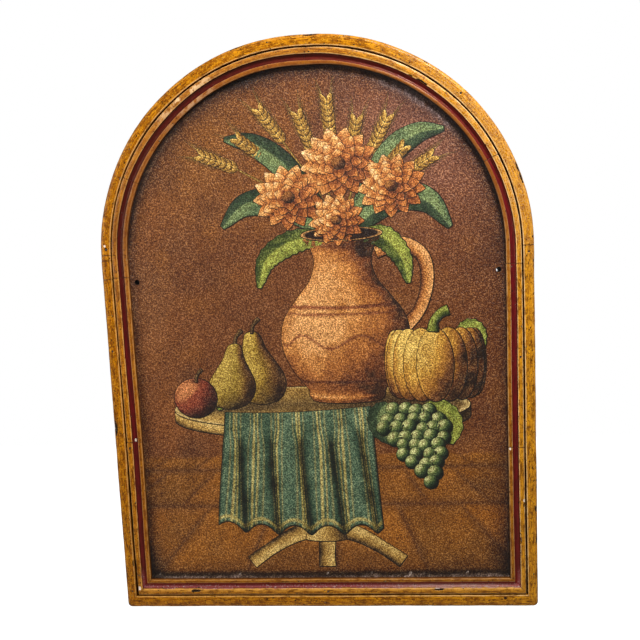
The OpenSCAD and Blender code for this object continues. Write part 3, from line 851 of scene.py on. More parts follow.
# Two pears and a red-brown apple left of the jug, with their stalks and a broad leaf, and another leaf that
# peeps out beside the pumpkin.
fruit = [
    leaf([(-60, -176), (-92, -166), (-128, -172), (-150, -190)], 14, 9, 7, 281, yellow_green),
    leaf([(196, -92), (214, -80), (228, -88), (234, -112)], 13, 9, 7, 282, yellow_green),
]
for centre, size, lean, codes, seed in (
    ((-84, -184), 1.0, -0.1, ("#1E1004", "#5E4210", "#92701F", "#B4923A"), 283),
    ((-132, -190), 0.9, 0.12, ("#1C1004", "#58400E", "#8A6C1E", "#AC8C38"), 284),
):
    profile = [(2, 10), (8, 26), (24, 37), (44, 37), (64, 27), (82, 17), (96, 13), (104, 9), (107, 2)]
    profile = [(h * size, r * size) for h, r in profile]
    x, z, nx, nz = turned(centre, profile, 0.1, 70, 40, lean)
    tone = lit(nx, 0.8 * nz, x, z, seed)
    tone = np.clip(tone + 0.3 * glow(x, z, centre[0] - 14 * size, centre[1] + 48 * size, 9, 13), 0, 1)
    blush = film_colour(tone, "#220A04", "#6A2C0C", "#9C5A20")
    blush = mix(film_colour(tone, *codes), blush, 0.6 * smooth(0.1, 0.9, nx))
    fruit.append((x, z, (10 if size == 1.0 else 11.5), blush))
    top = (centre[0] + lean * 107 * size, centre[1] + 105 * size)
    stalk = [top, (top[0] + 3, top[1] + 12), (top[0] + 11, top[1] + 21)]
    x, z, along, across = stroke(stalk, (1.6, 1.5, 2.6), 12, 3)
    fruit.append((x, z, 11, film_colour(0.6 - 0.4 * across, "#1E1208", "#6A4A22")))
x, z, a, b = disc((-182, -172), (31, 29), 30)
tone = np.clip(lit(0.92 * a, 0.85 * b, x, z, 285) + 0.25 * glow(x, z, -192, -162, 7, 7), 0, 1)
apple = film_colour(tone, "#180404", "#4C120A", "#7E2E16", "#B46C3A")
apple = mix(apple, "#2A1008", 0.8 * glow(x, z, -180, -147, 9, 3.2))
fruit.append((x, z, 13, apple))
x, z, along, across = stroke([(-180, -148), (-178, -138), (-171, -130)], (1.3, 1.3, 2.0), 10, 3)
fruit.append((x, z, 14, film_colour(0.6 - 0.4 * across, "#1E1208", "#6A4A22")))
films("picture_fruit", fruit, picture_oil)

# Green grapes spilling over the table's edge at the right, with two vine leaves.
grapes = [
    leaf([(96, -186), (84, -204), (86, -226), (100, -246)], 17, 7, 7, 291, grey_green),
    leaf([(148, -192), (176, -200), (190, -222), (186, -248)], 17, 7, 7, 292, yellow_green),
]
draw = np.random.default_rng(293)
for row, count in enumerate([4, 5, 6, 5, 4, 4, 3, 2, 1]):
    middle = 130 + 3 * row
    at_x = middle + 17.5 * (np.arange(count) - (count - 1) / 2) + draw.uniform(-2.5, 2.5, count)
    at_z = -198 - 13 * row + draw.uniform(-2.5, 2.5, count)
    for gx, gz, r in zip(at_x, at_z, draw.uniform(9.6, 11.6, count)):
        x, z, a, b = disc((gx, gz), (r, r), 7)
        tone = lit(0.95 * a, 0.95 * b, x, z, 294, 0.7) + 0.5 * glow(a, b, -0.4, 0.42, 0.2, 0.2)
        skin = film_colour(np.clip(tone, 0, 1), "#060C06", "#152616", "#2E4424", "#5A6A30", "#B4B070")
        grapes.append((x, z, (8 + 0.55 * row + 0.3 * (gx > middle)), skin))
films("picture_grapes", grapes, picture_oil, 0.9)

# Moulding
# The real one is a strip of softwood run with a bead, a hollow and an inner bead, steam-bent or sawn to the
# arch in lengths and pinned to the board. Its hollow is painted burgundy and the rest ochre gold.
band_t = face_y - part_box("band_left")[0].y / MM
mould_out = half_w + mould_low[0]
mould_w = mould_high[0] - mould_low[0]
bead_t = face_y - mould_low[1]
bead_w, cove_w = 8.0, 8.0
cove_d, sight_rise, sight_drop = 2.4, 1.2, 1.5
across_step, along_step = 0.5, 1.5
joint_w, joint_d, pit_r, pit_rim, pit_lip = 0.6, 0.25, 1.9, 2.3, 0.18


def arc(centre, radius, start, end):
    """Points of an arc from one angle in degrees to another, about across_step apart."""
    count = max(3, round(abs(end - start) * math.pi / 180 * radius / across_step))
    angle = np.radians(np.linspace(start, end, count + 1))
    return np.stack([centre[0] + radius * np.cos(angle), centre[1] + radius * np.sin(angle)], 1)


def line(start, end, step=across_step):
    """Points from start to end, about a step apart."""
    count = max(1, round(math.dist(start, end) / step))
    return np.linspace(start, end, count + 1)


def section(*runs):
    """One closed outline from runs of points, each as (distance in from the outer edge, height off the
    board). Returns the points, the length along the outline, the outward normals, and how much the
    outline bulges, above 0, or dips, below 0, over 2 mm."""
    outline = np.concatenate(runs)
    apart = np.linalg.norm(np.diff(outline, axis=0), axis=1) > 0.02
    outline = outline[np.concatenate([[True], apart])]
    step = np.linalg.norm(np.diff(outline, axis=0, append=outline[:1]), axis=1)
    girth = np.concatenate([[0], np.cumsum(step)[:-1]])
    tangent = np.roll(outline, -1, 0) - np.roll(outline, 1, 0)
    tangent /= np.linalg.norm(tangent, axis=1)[:, None]
    normal = np.stack([-tangent[:, 1], tangent[:, 0]], 1)
    heading = np.unwrap(np.arctan2(tangent[:, 1], tangent[:, 0]))
    ahead = np.interp(girth + 1, girth, heading)
    behind = np.interp(girth - 1, girth, heading)
    return outline, girth, normal, behind - ahead


def raised(first, last, top, radius, corner_first, corner_last):
    """Runs over a raised face between two distances in: an arc of the radius with its middle at the
    height top, and at each end a corner rounded off to its own radius, down to where the side wall
    begins."""
    inward = np.linspace(first + corner_first, last - corner_last, round((last - first) / across_step))
    height = top - radius + np.sqrt(radius**2 - (inward - (first + last) / 2) ** 2)
    return [
        arc((first + corner_first, height[0] - corner_first), corner_first, 180, 90),
        np.stack([inward, height], 1),
        arc((last - corner_last, height[-1] - corner_last), corner_last, 90, 0),
    ]


sight_t = bead_t - sight_drop
cove_edge_t = sight_t - sight_rise
cove_r = (cove_w**2 / 4 + cove_d**2) / (2 * cove_d)
cove_angle = math.degrees(math.asin(cove_w / 2 / cove_r))
bead_in, cove_in = mould_out + bead_w, mould_out + bead_w + cove_w
mould_in = mould_out + mould_w
bead = raised(mould_out, bead_in, bead_t, 8.2, 0.9, 0.9)
inner_bead = raised(cove_in, mould_in, sight_t, 7.0, 0.3, 1.2)
mould_section = section(
    line((mould_out, 0), bead[0][0], 1.0),
    *bead,
    line(bead[-1][-1], (bead_in, cove_edge_t)),
    arc((bead_in + cove_w / 2, cove_edge_t + cove_r - cove_d), cove_r, 270 - cove_angle, 270 + cove_angle),
    line((cove_in, cove_edge_t), inner_bead[0][0]),
    *inner_bead,
    line(inner_bead[-1][-1], (mould_in, 0), 1.0),
)


def at_leg(height):
    """Place along a side for a height above the bottom edge. It is 0 at the springline."""
    return height - leg_h


def at_arch(degrees):
    """Place along a side for an angle above the springline, measured on the outer edge."""
    return math.radians(degrees) * arch_r


def on_side(side, along, inward, height):
    """Points of a strip on the right (side 1) or left (side -1): straight up the leg while the place
    along is below 0, then round the quarter arc at that place over its outer radius as the angle, and
    last straight over to the middle."""
    angle = np.clip(along, 0, at_arch(90)) / arch_r
    radius = arch_r - inward
    x = crown_half + radius * np.cos(angle) - np.maximum(along - at_arch(90), 0)
    z = spring_z + radius * np.sin(angle) + np.minimum(along, 0)
    return side * x, face_y - height + 0 * x, z


def on_bottom(raised, along, inward, height):
    """Points of a strip along the bottom, raised by a distance, with the place along from the middle."""
    return along + 0 * inward, face_y - height + 0 * along, base_z + raised + inward + 0 * along


def pins_of(name):
    """Places of a node's pins as x and z in mm: the mean of each group of vertices round a pin's tip,
    where the vertices of one group lie within 1 mm of each other."""
    points = np.empty(3 * len(frame["nodes"][name].data.vertices), np.float32)
    frame["nodes"][name].data.vertices.foreach_get("co", points)
    points = points.reshape(-1, 3) / MM
    tips = points[points[:, 1] > points[:, 1].max() - 0.05][:, ::2]
    near = np.linalg.norm(tips[:, None] - tips[None], axis=2) < 1
    return np.array([tips[near[first]].mean(0) for first in np.unique(near.argmax(1))])


def pins_on(path, side, start, end, places, line_in):
    """Places along a strip, from start to end, of the pins that lie on its line, line_in from its outer
    edge."""
    x, z = places.T
    if path is on_bottom:
        along, inward = x, z - base_z - side
    else:
        x = side * x - crown_half
        over = z - spring_z
        turned = np.where(x > 0, np.arctan2(over, np.maximum(x, 1e-6)) * arch_r, at_arch(90) - x)
        along = np.where(over < 0, over, turned)
        inward = arch_r - np.where(over < 0, x, np.where(x > 0, np.hypot(x, over), over))
    return along[(along > start) & (along < end) & (np.abs(inward - line_in) < 1)]


def square_end(inward):
    """A sawn end square to the strip: it lies no farther along for points farther in."""
    return 0 * inward


def filled_end(inward):
    """The same end where paint fills the joint."""
    return 0 * inward


def strip(
    name, shape, path, side, start, end, cuts, chips, places, line_in, material, seed, trim=None
):
    """A length of strip: the section, carried along its path from start to end. Each cut gives how far a
    point of the end lies along for its distance in. Its face wanders a little, dips over each pin, loses
    a flake where a chip is, given as (place along, distance in, length, width, depth), with a depth below
    0 for a pale ding down to the wood, and is eased where it is sawn off."""
    outline, girth, normal, bulge = shape
    inward, height = outline.T[:, None, :]
    slant = [1 if cut in (square_end, filled_end) else math.sqrt(2) for cut in cuts]
    start_at = start + glue_line / 2 * slant[0] + cuts[0](inward)
    end_at = end - glue_line / 2 * slant[1] - cuts[1](inward)
    length = float((end_at - start_at).mean())
    draw = np.random.default_rng(seed + 7)
    top = int(np.argmax(outline[:, 1] > 4))
    pin_line = float(np.interp(line_in, outline[top:-2, 0], girth[top:-2]))
    pins = [
        (place, pin_line + draw.uniform(-0.8, 0.8), draw.choice([0.12, 0.25, 1.0], p=[0.45, 0.35, 0.2]))
        for place in pins_on(path, side, start, end, places, line_in)
    ]
    even = np.linspace(0, 1, round(length / along_step) + 1)
    near_ends = np.array([0.25, 0.6, 1.0]) / length
    marks = [(p[0], 2.4) for p in pins] + [(mark[0], min(mark[2], 8) / 2 + 0.4) for mark in chips]
    near_marks = [
        (place - float(start_at.mean()) + off) / length
        for place, half in marks for off in np.arange(-half, half, 0.4)
    ]
    share = np.unique(np.round(np.concatenate([even, near_ends, 1 - near_ends, near_marks]), 6))
    share = share[(share >= 0) & (share <= 1)][:, None]
    along = start_at + share * (end_at - start_at)
    across = girth[None, :]
    face = smooth(1.5, 4.0, height)
    wander = 0.16 * lumps(along, across, 46, seed) + 0.08 * lumps(along, across, 7, seed + 1) - 0.2
    opened = [0.3 if start == -end else 1.0 if cut is square_end else 0.0 for cut in cuts]
    from_ends = along - start_at, end_at - along
    joint = np.maximum(*(
        part * np.exp(-((away / joint_w) ** 2)) for part, away in zip(opened, from_ends)
    ))
    chip, pale, dent = chip_fields(along, across, girth, outline, chips, seed)
    pit = np.zeros_like(along)
    for place, centre, sunk in pins:
        apart = np.hypot(along - place, across - centre)
        lip = pit_lip * np.exp(-(((apart - pit_rim) / 0.6) ** 2))
        pit = np.maximum(pit, sunk * smooth(pit_r, 1.2, apart) - lip)
    push = face * (wander - joint_d * joint - dent - pit)
    inward_at = inward + normal[:, 0] * push + face * 0.22 * lumps(along, 0 * across, 55, seed + 2)
    if trim is not None:
        inward_at = inward_at + trim(along, inward)
    inward_at = np.clip(inward_at, 0.0, None)
    height_at = np.clip(height + normal[:, 1] * push, 0.0, outline[:, 1].max())
    x, y, z = path(side, along, inward_at, height_at)
    x, z = round_corners(x, z, half_w, base_z, corner_r)
    rows, columns = x.shape
    number = np.arange(rows * columns).reshape(rows, columns)
    beside = np.roll(number, -1, 1)
    quads = np.stack([number[:-1], beside[:-1], beside[1:], number[1:]], -1).reshape(-1, 4)
    caps = [number[0][::-1], number[-1]]
    run = np.stack(np.broadcast_arrays(along, inward, height), -1) * MM
    values = {
        "run": run.reshape(-1, 3),
        "chip": chip.ravel(),
        "pale": pale.ravel(),
        "seam": joint.ravel(),
        "bulge": np.broadcast_to(bulge, chip.shape).ravel(),
        "pit": smooth(0.3, 0.7, pit).ravel(),
    }
    points = np.stack([x, y, z], -1).reshape(-1, 3)
    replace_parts(make_piece(name, points, quads, caps, material, values, 50), name)


def chip_fields(along, across, girth, outline, chips, seed):
    """How far each point is inside a chip and inside a pale ding, from 0 to 1, and how deep either is
    there. A chip is an oval in the plane of length along and length across the section, so it runs over
    an edge as a real flake does."""
    draw = np.random.default_rng(seed)
    low, high = float(along.min()), float(along.max())
    face_girth = girth[(outline[:, 1] > outline[:, 1].max() * 0.5)]
    small = [
        (draw.uniform(low, high), draw.choice(face_girth), draw.uniform(1.2, 3.5),
         draw.uniform(0.8, 1.8), 0.2)
        for _ in range(int((high - low) / 16))
    ]
    top = int(np.argmax(outline[:, 1] > 4))
    placed = [
        (a, float(np.interp(i, outline[top:-2, 0], girth[top:-2])), l, w, d) for a, i, l, w, d in chips
    ]
    chip, pale, dent = np.zeros((3, *np.broadcast(along, across).shape))
    ragged = 0.35 * lumps(along, across, 2.2, seed + 5)
    for place, centre, length, width, depth in placed + small:
        oval = ((along - place) / (length / 2)) ** 2 + ((across - centre) / (width / 2)) ** 2
        inside = np.clip(1.5 - oval + ragged * (oval < 3), 0, 1)
        chip, pale = np.maximum(chip, inside * (depth > 0)), np.maximum(pale, inside * (depth < 0))
        dent = np.maximum(dent, abs(depth) * smooth(0.2, 0.8, inside))
    return chip, pale, dent


def gilt_paint(name, hollow):
    """Ochre gold brushed along the strip over black, rubbed back to lighter gold on the edges, where it is
    also painted highlight, and browned in the quirks by grime and painted shade. It is painted darker to the
    left and lighter on the right as painted light and shade, and darker towards the bottom, partly dirt and
    partly painted shade. hollow gives the two distances in, in mm, between which it is painted burgundy, or
    None."""
    material, tree, shader = new_material(name)
    place = add(tree, "TexCoord", out="Object")
    x, z = (add(tree, "SeparateXYZ", {0: place}, axis) for axis in "XZ")
    run = add(tree, "Attribute", out="Vector", attribute_name="run")
    inward, height = (add(tree, "SeparateXYZ", {0: run}, axis) for axis in "YZ")
    chip, bulge, pit, seam, pale = (
        add(tree, "Attribute", out="Fac", attribute_name=key)
        for key in ("chip", "bulge", "pit", "seam", "pale")
    )
    streaked, drawn_out = (
        add(tree, "Mapping", {"Vector": run, "Scale": (pull, 1, 1)}) for pull in (0.09, 0.25)
    )
    # Columns: where, size of the lumps in mm, detail, roughness and distortion.
    brush, mottle, grain, sand_and_sparkle, scuff, blots, specks = (
        add(tree, "TexNoise", {
            "Vector": where, "Scale": 1 / (size * MM), "Detail": detail, "Roughness": rough,
            "Distortion": bent,
        })
        for where, size, detail, rough, bent in (
            (streaked, 1.4, 3, 0.6, 0), (place, 11, 4, 0.62, 0), (place, 2.1, 2, 0.5, 0.4),
            (place, 1.5, 2, 0.5, 0), (drawn_out, 3, 3, 0.6, 0), (place, 2.8, 2, 0.5, 0),
            (place, 3.4, 1, 0.5, 0),
        )
    )
    # Edges and crowns are paler, partly rubbed wear and partly painted highlight.
    rub_and_highlight = add(tree, "Math", {0: mottle, 1: -0.9, 2: bulge}, operation="MULTIPLY_ADD")
    shoulder = add(tree, "VectorMath", {0: place, 1: (0.26, 0, 0.19)}, "Value", operation="DISTANCE")
    to_left, to_foot, streaks = (x, 0.3, -0.3, 0, 0.7), (z, -0.43, -0.46), (brush, 0.38, 0.62, 1, 0)
    off_shoulder = (shoulder, 0.22, 0.1, 1, 0.3)
    # Pale colour of the edges, partly wear and partly painted highlight, less pale to the left as painted
    # shade.
    pale_edge = layered(tree, linear("#F2CC92"), [("#D08630", to_left)])
    # The gold is painted darker to the left and lighter on the lower right leg, as painted light and shade.
    colour = layered(tree, linear("#DC9412"), [
        ("#BA6E0A", to_left),
        ("#844406", streaks),
        ("#763C04", (mottle, 0.5, 0.68, 0, 0.75)),
        ("#E09C20", (grain, 0.52, 0.68, 0, 0.65)),
        ("#F8B030", (x, 0.24, 0.28, 0, 0.17), (z, 0.06, -0.04)),
        # Round the upper right haunch the gold is paler and sandier with fewer dark scuffs, partly its own
        # grain and partly painted light and sparkle.
        ("#ECC084", (sand_and_sparkle, 0.46, 0.56, 0, 0.32), (shoulder, 0.22, 0.1)),
        ("#EDB45A", (rub_and_highlight, -0.2, 0.6, 0, 0.6)),
        ("#5E2E06", (scuff, 0.47, 0.37, 0, 0.8), off_shoulder),
        ("#4A2408", (blots, 0.6, 0.68, 0, 0.8), off_shoulder),
        (pale_edge, (bulge, 0.5, 1.1), (*to_foot, 1, 0.6), (scuff, 0.4, 0.56, 0.2, 0.95)),
    ])
    if hollow:
        # The gold is browner at the upper left, with a cream painted highlight on the bead there, and the
        # inner bead is darker above. Along the foot the bead is darker on its outer side, partly dirt and
        # partly painted shade, and has a painted highlight along its top. Distances past the outer bead are
        # in mm.
        past = add(tree, "Math", {0: inward, 1: 1 / MM, 2: -hollow[0]}, operation="MULTIPLY_ADD")
        wavering = add(tree, "Math", {0: mottle, 1: 1.2, 2: past}, operation="MULTIPLY_ADD")
        width = hollow[1] - hollow[0]
        inner, outer, after, before = (
            add(tree, "Math", {0: value, 1: limit}, operation=side)
            for value, limit, side in (
                (past, width, "GREATER_THAN"), (past, 2, "LESS_THAN"),
                (wavering, 0.6, "GREATER_THAN"), (wavering, width + 0.6, "LESS_THAN"),
            )
        )
        up_left = add(tree, "VectorMath", {0: place, 1: (-0.7, 0, 0.7)}, "Value", operation="DOT_PRODUCT")
        left_bead, left_spring, right_foot = (
            add(tree, "VectorMath", {0: place, 1: spot}, "Value", operation="DISTANCE")
            for spot in ((-0.17, 0, 0.26), (-0.28, 0, 0.075), (0.17, 0, -0.46))
        )
        colour = layered(tree, colour, [
            ("#8A5634", (up_left, 0.08, 0.26, 0, 0.35)),
            # A cream painted highlight on the bead at the upper left.
            ("#F2CA96", (mottle, 0.52, 0.42, 0, 0.7), (left_bead, 0.07, 0.02, 0, 1.4)),
            ("#723614", (inner,), (z, 0, 0.12, 0.35, 0.6), (x, -0.1, 0.2, 1, 1.45)),
            ("#4E2206", (left_spring, 0.06, 0.025, 0, 0.35)),
            # Along the foot the bead's outer side is darker, partly dirt and partly painted shade.
            ("#4E2206", (past, -6, -8.5), (*to_foot, 0.2, 0.85)),
            # A painted highlight along the top of the bead at the foot.
            ("#F2AE50", (past, -4.5, -2, 0, 0.5), (outer,), to_foot, (scuff, 0.38, 0.6, 0.15, 1.2)),
        ])
        # The burgundy is painted darker at the upper left as shade and redder along the foot as painted
        # light; along the foot it has a pink cast of dust and painted sheen, a pale painted sheen on the
        # right and painted glints.
        dust_and_sheen = to_foot, (past, 5, 2.5), (mottle, 0.35, 0.65, 0.35, 0.9)
        wine = layered(tree, linear("#840F24"), [
            ("#58081A", streaks),
            ("#2E0810", (up_left, 0.08, 0.26, 0, 0.65)),
            ("#A41420", (*to_foot, 0, 0.8)),
            ("#C06C74", *dust_and_sheen),
            ("#F0C0B4", (right_foot, 0.12, 0.04, 0, 0.9), *dust_and_sheen),
            ("#F0CDC4", (grain, 0.58, 0.66, 0, 1.6), *dust_and_sheen),
        ])
        colour = layered(tree, colour, [(wine, (after,), (before,))])
    quirk, wall, joint, speck, bare = (
        add(tree, "MapRange", {0: value, 1: low, 2: high, 3: least, 4: most})
        for value, low, high, least, most in (
            (bulge, -0.15, -0.7, 0, 0.8), (height, 6 * MM, 3 * MM, 0, 0.9), (mottle, 0.38, 0.6, 0.6, 1),
            (specks, 0.71, 0.76, 0, 0.85), (chip, 0.45, 0.6, 0, 1),
        )
    )
    open_seam = add(tree, "Math", {0: seam, 1: joint}, operation="MULTIPLY")
    # Quirks, low side walls and open seams are darkened, partly grime and partly painted shade.
    grime_and_shade, flaked = quirk, bare
    for one, other in ((wall, pit), (open_seam, speck)):
        grime_and_shade = add(tree, "Math", {0: grime_and_shade, 1: one}, operation="MAXIMUM")
        flaked = add(tree, "Math", {0: flaked, 1: other}, operation="MAXIMUM")
    undercoat = layered(tree, linear("#1A130E"), [("#8C8070", (grain, 0.6, 0.66, 0, 0.8))])
    body = add(tree, "Math", {0: brush, 1: grain}, operation="ADD")
    bump = add(tree, "Bump", {"Strength": 0.7, "Distance": 0.4 * MM, "Height": body})
    wire(tree, shader, {
        "Base Color": layered(tree, colour, [
            # Darker towards the bottom in mottled patches, partly dirt and partly painted shade.
            ("#3A1E08", (z, -0.1, -0.5, 0, 0.45), (mottle,)),
            ("#3C1A06", (grime_and_shade,)),
            (undercoat, (flaked,)),
            ("#F0DCC8", (pale, 0.4, 0.7)),
        ]),
        "Roughness": add(tree, "MapRange", {0: mottle, 1: 0.35, 2: 0.65, 3: 0.3, 4: 0.6}),
        "Normal": bump,
        "Coat Normal": bump,
        "Specular IOR Level": 0.25,
        "Specular Tint": linear("#FFC070"),
        "Coat Weight": 0.15,
        "Coat Roughness": 0.16,
    })
    return material


# Brushed gloss paint, worn through at the edges: yellow ochre with browner streaks along each length, pale
# on the edges where hands rubbed it and as painted highlight, nearly black in the quirks from grime and
# painted shade, and with the black undercoat bare in the chips.
mould_paint = gilt_paint("ochre_gold_and_burgundy", (bead_in, cove_in))
crown = at_arch(90) + crown_half
mould_pins, bead_line = pins_of("moulding_pins"), mould_out + bead_w / 2
shoulder_angle = {"right": 26.5, "left": 24.5}
mould_chips = {
    "moulding_right_crown": [
        (at_arch(56.4), bead_in - 0.6, 17, 3.4, 0.5), (at_arch(60.0), bead_in - 0.4, 7, 2.2, 0.4),
    ],
    "moulding_right_lower": [
        (at_leg(154), mould_out + 0.8, 8, 3.5, 0.9), (at_leg(160), mould_out + 1.2, 5, 3.0, -0.6),
        (at_leg(100), bead_in - 0.5, 11, 2.8, 0.7), (at_leg(236), mould_in - 2.4, 4, 3.0, -0.4),
    ],
    "moulding_left_upper": [(at_leg(259), mould_out + 12.0, 5, 3.0, -0.3)],
    "moulding_left_lower": [
        (at_leg(30), mould_out + 2.4, 7, 6.6, -0.7), (at_leg(64), mould_out + 0.5, 12, 2.2, 0.4),
    ],
    "moulding_left_shoulder": [
        (at_arch(33.1), mould_out + 1.6, 5, 3.0, 0.5), (at_arch(1.6), mould_out + 3.5, 0.9, 7, 0.3),
        (at_arch(1.6), mould_in - 3.0, 0.9, 6, 0.3),
    ],
    "moulding_bottom": [
        (-199, mould_out + 5.6, 15, 3.6, 0.8), (163, bead_in - 1.4, 16, 3.6, 1.0),
        (160, bead_in - 0.2, 8, 1.6, -0.7), (-62, cove_in + 1.6, 12, 2.4, 0.5),
        (-43, cove_in + 3.0, 3.5, 2.0, 0.4), (84, cove_in + 2.2, 6, 2.2, 0.5),
    ],
}


def laid_by_eye(rows, lines):
    """A trim that moves a strip's points in: each row gives a place along and the mm for every one of the
    lines, which are distances in. Between rows and between lines the mm change evenly."""
    places, *moves = np.array(rows, float).T

    def trim(along, inward):
        at_line = [np.interp(along, places, move) for move in moves]
        total = at_line[0] + 0 * inward
        for k in range(1, len(lines)):
            share = np.clip((inward - lines[k - 1]) / (lines[k] - lines[k - 1]), 0, 1)
            total = total + share * (at_line[k] - at_line[k - 1])
        return total

    return trim


# The strips were laid by eye, so they stray inward a little, most of all over the right haunch of the arch.
# Columns: place along, and mm in at the moulding's outer edge, its hollow's middle and its inner edge.
mould_strays = {
    "right": [
        (at_leg(0), 0.5, 0, 0), (at_leg(250), 1, 1, 1), (at_leg(470), 0.5, 0, 0), (at_arch(15), 2, 2, 0.5),
        (at_arch(60), 1.5, 4, 1), (at_arch(80), 1.5, 4, 1.5), (crown, 1, 2, 2),
    ],
    "left": [
        (at_leg(0), 2, 0, 0), (at_leg(110), 1, 0, 0), (at_leg(240), 1.5, 2, 1.5), (at_leg(400), 0.5, 0, 0),
        (at_arch(25), 0, -0.5, 0), (at_arch(45), 0.5, 1.5, 1.5), (at_arch(75), 1.5, 1, 1), (crown, 1, 2, 2),
    ],
    "bottom": [(0, 0, 2.5, 1)],
}
mould_lines = (mould_out, (bead_in + cove_in) / 2, mould_in)
mould_trims = {part: laid_by_eye(rows, mould_lines) for part, rows in mould_strays.items()}


seed = 100
for side, word in ((1, "right"), (-1, "left")):
    joint, tail = (
        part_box(f"moulding_{word}_{part}")[1].z / MM + glue_line / 2 - spring_z
        for part in ("lower", "upper")
    )
    shoulder = at_arch(shoulder_angle[word])
    lengths = [("lower", at_leg(0), joint, square_end), ("upper", joint, tail, square_end),
               ("shoulder", tail, shoulder, square_end), ("crown", shoulder, crown, filled_end)]
    for part, start, end, last_cut in lengths:
        name = f"moulding_{word}_{part}"
        seed += 10
        cut = square_end
        if part == "lower":
            cut = lambda inward: inward + rail_shift + mould_trims["bottom"](0, inward)
        strip(name, mould_section, on_side, side, start, end, (cut, last_cut), mould_chips.get(name, []),
              mould_pins, bead_line, mould_paint, seed, mould_trims[word])
seed += 10
cuts = [
    lambda inward, word=word: inward + mould_trims[word](at_leg(0), inward) for word in ("left", "right")
]
strip("moulding_bottom", mould_section, on_bottom, rail_shift, -half_w, half_w, cuts,
      mould_chips["moulding_bottom"], mould_pins, bead_line, mould_paint, seed,
      mould_trims["bottom"])

# Band
# The real one is a plain crowned strip bent round the edge of the board outside the moulding, with a rounded
# outer edge. It is mitred at the bottom corners, painted ochre gold and pinned from the face.
band_crown_r, band_round, band_ease = 34.0, 5.0, 1.0


def crowned(width):
    """Section of a band: its face is an arc of radius band_crown_r with its top over the middle."""
    face = raised(0, width, band_t, band_crown_r, band_round, band_ease)
    return section(line((0, 0), face[0][0], 1.0), *face, line(face[-1][-1], (width, 0), 1.0))


band_section, rail_section = crowned(band_w), crowned(rail_w)
band_pins = pins_of("band_pins")
band_paint = gilt_paint("ochre_gold_brushed", None)
band_chips = {
    "band_arch_right": [
        (at_arch(21.0), 1.0, 14, 4.6, 0.7), (at_arch(18.0), 1.2, 16, 4.8, 0.8),
        (at_arch(2.2), 1.5, 4, 3.0, 0.6), (at_arch(58.2), 0.9, 11, 2.6, 0.6),
        (at_arch(90), 0.8, 18, 5.0, 0.9),
    ],
    "band_arch_left": [
        (at_arch(73.3), 0.9, 24, 2.6, 0.6), (at_arch(28.5), 10.7, 3, 2, 0.4), (17, 8.4, 5.0, 5.0, 0.6),
        (22, 6.6, 3.6, 3.4, -0.3), (8, 7.5, 0.8, 30, 0.3),
    ],
    "band_right": [
        (at_leg(148), 1.4, 9, 4.5, 1.0), (at_leg(100), 1.2, 10, 4.0, 0.8), (at_leg(190), 0.9, 4, 2.6, 0.5),
        (at_leg(502), 1.2, 4, 3.0, 0.6),
    ],
    "band_left": [
        (at_leg(278), 1.8, 22, 7.5, 1.3), (at_leg(70), 13.4, 9, 2.4, 0.5), (at_leg(26), 9.0, 3, 2.5, 0.4),
        (-27, 7.5, 0.8, 30, 0.3),
    ],
    "band_bottom": [
        (12, 0.9, 12, 3.0, 0.6), (150, 0.9, 11, 2.8, 0.6), (258, 13.4, 6, 2.8, 0.6),
        (-190, 0.7, 8, 2.2, 0.5),
    ],
}
# The band's inner edge keeps near the moulding's outer one, but not at the foot of the legs, below the place
# gape_top, where the joint gapes on the left.
gape_top, kept_near = -400, 0.8
for side, word in ((1, "right"), (-1, "left")):
    rows = [(row[0], 0.0, kept_near * row[1] * (row[0] > gape_top)) for row in mould_strays[word]]
    trim = laid_by_eye(rows, (0, band_w))
    for name, start, end, cuts in (
        (f"band_{word}", at_leg(0), 0.0, (lambda inward: inward * rail_w / band_w, square_end)),
        (f"band_arch_{word}", 0.0, crown, (square_end, filled_end)),
    ):
        seed += 10
        strip(name, band_section, on_side, side, start, end, cuts, band_chips[name], band_pins, band_w / 2,
              band_paint, seed, trim)
seed += 10
mitre = lambda inward: inward * band_w / rail_w
strip("band_bottom", rail_section, on_bottom, 0.0, -half_w, half_w, (mitre, mitre),
      band_chips["band_bottom"], band_pins, rail_w / 2, band_paint, seed)

# Pins
# The real ones are cut steel wire pins, 22 mm long, driven below the paint and left to rust in their pits.
steel, tree, shader = new_material("dull_steel_wire")
place = add(tree, "TexCoord", out="Object")
rust = add(tree, "TexNoise", {"Vector": place, "Scale": 1 / (1.1 * MM), "Detail": 4})
wire(tree, shader, {
    "Base Color": layered(tree, linear("#5C554E"), [("#4B2A18", (rust, 0.42, 0.6))]),
    "Metallic": add(tree, "MapRange", {0: rust, 1: 0.42, 2: 0.6, 3: 1.0, 4: 0.1}),
    "Roughness": add(tree, "MapRange", {0: rust, 1: 0.42, 2: 0.6, 3: 0.38, 4: 0.85}),
})
for name in ("band_pins", "moulding_pins"):
    pins = frame["nodes"][name]
    pins.data.materials.clear()
    pins.data.materials.append(steel)

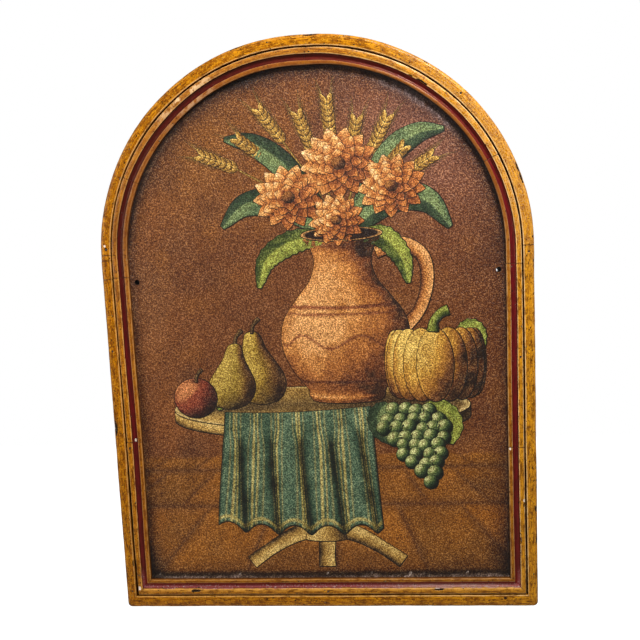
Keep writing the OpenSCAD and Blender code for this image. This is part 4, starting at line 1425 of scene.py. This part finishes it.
# Studio
# A pale matt floor below the hanging sign, a white room round it and two soft lights from above the camera.
aim = Vector((5.55, face_y - 6, -62.2)) * MM
view_right, view_above, view_roll = 5.38, 8.03, 2.56
view_distance = 1.2755
focal_pixels, picture_pixels, sensor = 900, 640, 36
turn, tilt = math.radians(view_right), math.radians(view_above)
back = Vector((math.sin(turn) * math.cos(tilt), -math.cos(turn) * math.cos(tilt), math.sin(tilt)))
lens = bpy.data.cameras.new("camera")
lens.sensor_width = sensor
lens.lens = sensor * focal_pixels / picture_pixels
camera = bpy.data.objects.new("camera", lens)
camera.location = aim + back * view_distance
camera.rotation_mode = "QUATERNION"
level = (-back).to_track_quat("-Z", "Y")
camera.rotation_quaternion = level @ Quaternion((0, 0, 1), math.radians(-view_roll))
bpy.context.scene.collection.objects.link(camera)
bpy.context.scene.camera = camera

floor_material, tree, shader = new_material("pale_matt_floor")
speckle = add(tree, "TexNoise", {"Scale": 90.0, "Detail": 3})
wire(tree, shader, {
    "Base Color": layered(tree, linear("#F6F6F4"), [("#FCFCFA", (speckle,))]),
    "Roughness": 0.9,
    "Emission Color": (1, 1, 1, 1),
    "Emission Strength": add(tree, "LightPath", out="Is Camera Ray"),
})
floor_mesh = bpy.data.meshes.new("floor")
reach, drop = 3.0, base_z * MM - 0.6  # half the floor's width, and its height, in m
room_light = 0.09
floor_corners = [(x * reach, y * reach, drop) for x, y in ((-1, -1), (1, -1), (1, 1), (-1, 1))]
floor_mesh.from_pydata(floor_corners, [], [(0, 1, 2, 3)])
floor_mesh.materials.append(floor_material)
floor = bpy.data.objects.new("floor", floor_mesh)
bpy.context.scene.collection.objects.link(floor)

world = bpy.data.worlds.new("white_room")
world.use_nodes = True
room = world.node_tree
seen = add(room, "LightPath", out="Is Camera Ray")
strength = add(room, "MapRange", {0: seen, 3: room_light, 4: 1.0})
wire(room, room.nodes["Background"], {"Color": (1, 1, 1, 1), "Strength": strength})
bpy.context.scene.world = world
lit_at = Vector((0, 0, -0.05))
for name, place, size, power in (
    ("overhead_softbox", (0.55, -0.8, 1.1), 0.36, 30),
    ("side_fill", (-1.5, -1.0, 0.3), 1.0, 16),
):
    light = bpy.data.lights.new(name, "AREA")
    light.size = size
    light.energy = power
    lamp = bpy.data.objects.new(name, light)
    lamp.location = place
    lamp.rotation_mode = "QUATERNION"
    lamp.rotation_quaternion = (lit_at - Vector(place)).to_track_quat("-Z", "Y")
    bpy.context.scene.collection.objects.link(lamp)
bpy.context.scene.view_settings.view_transform = "Standard"
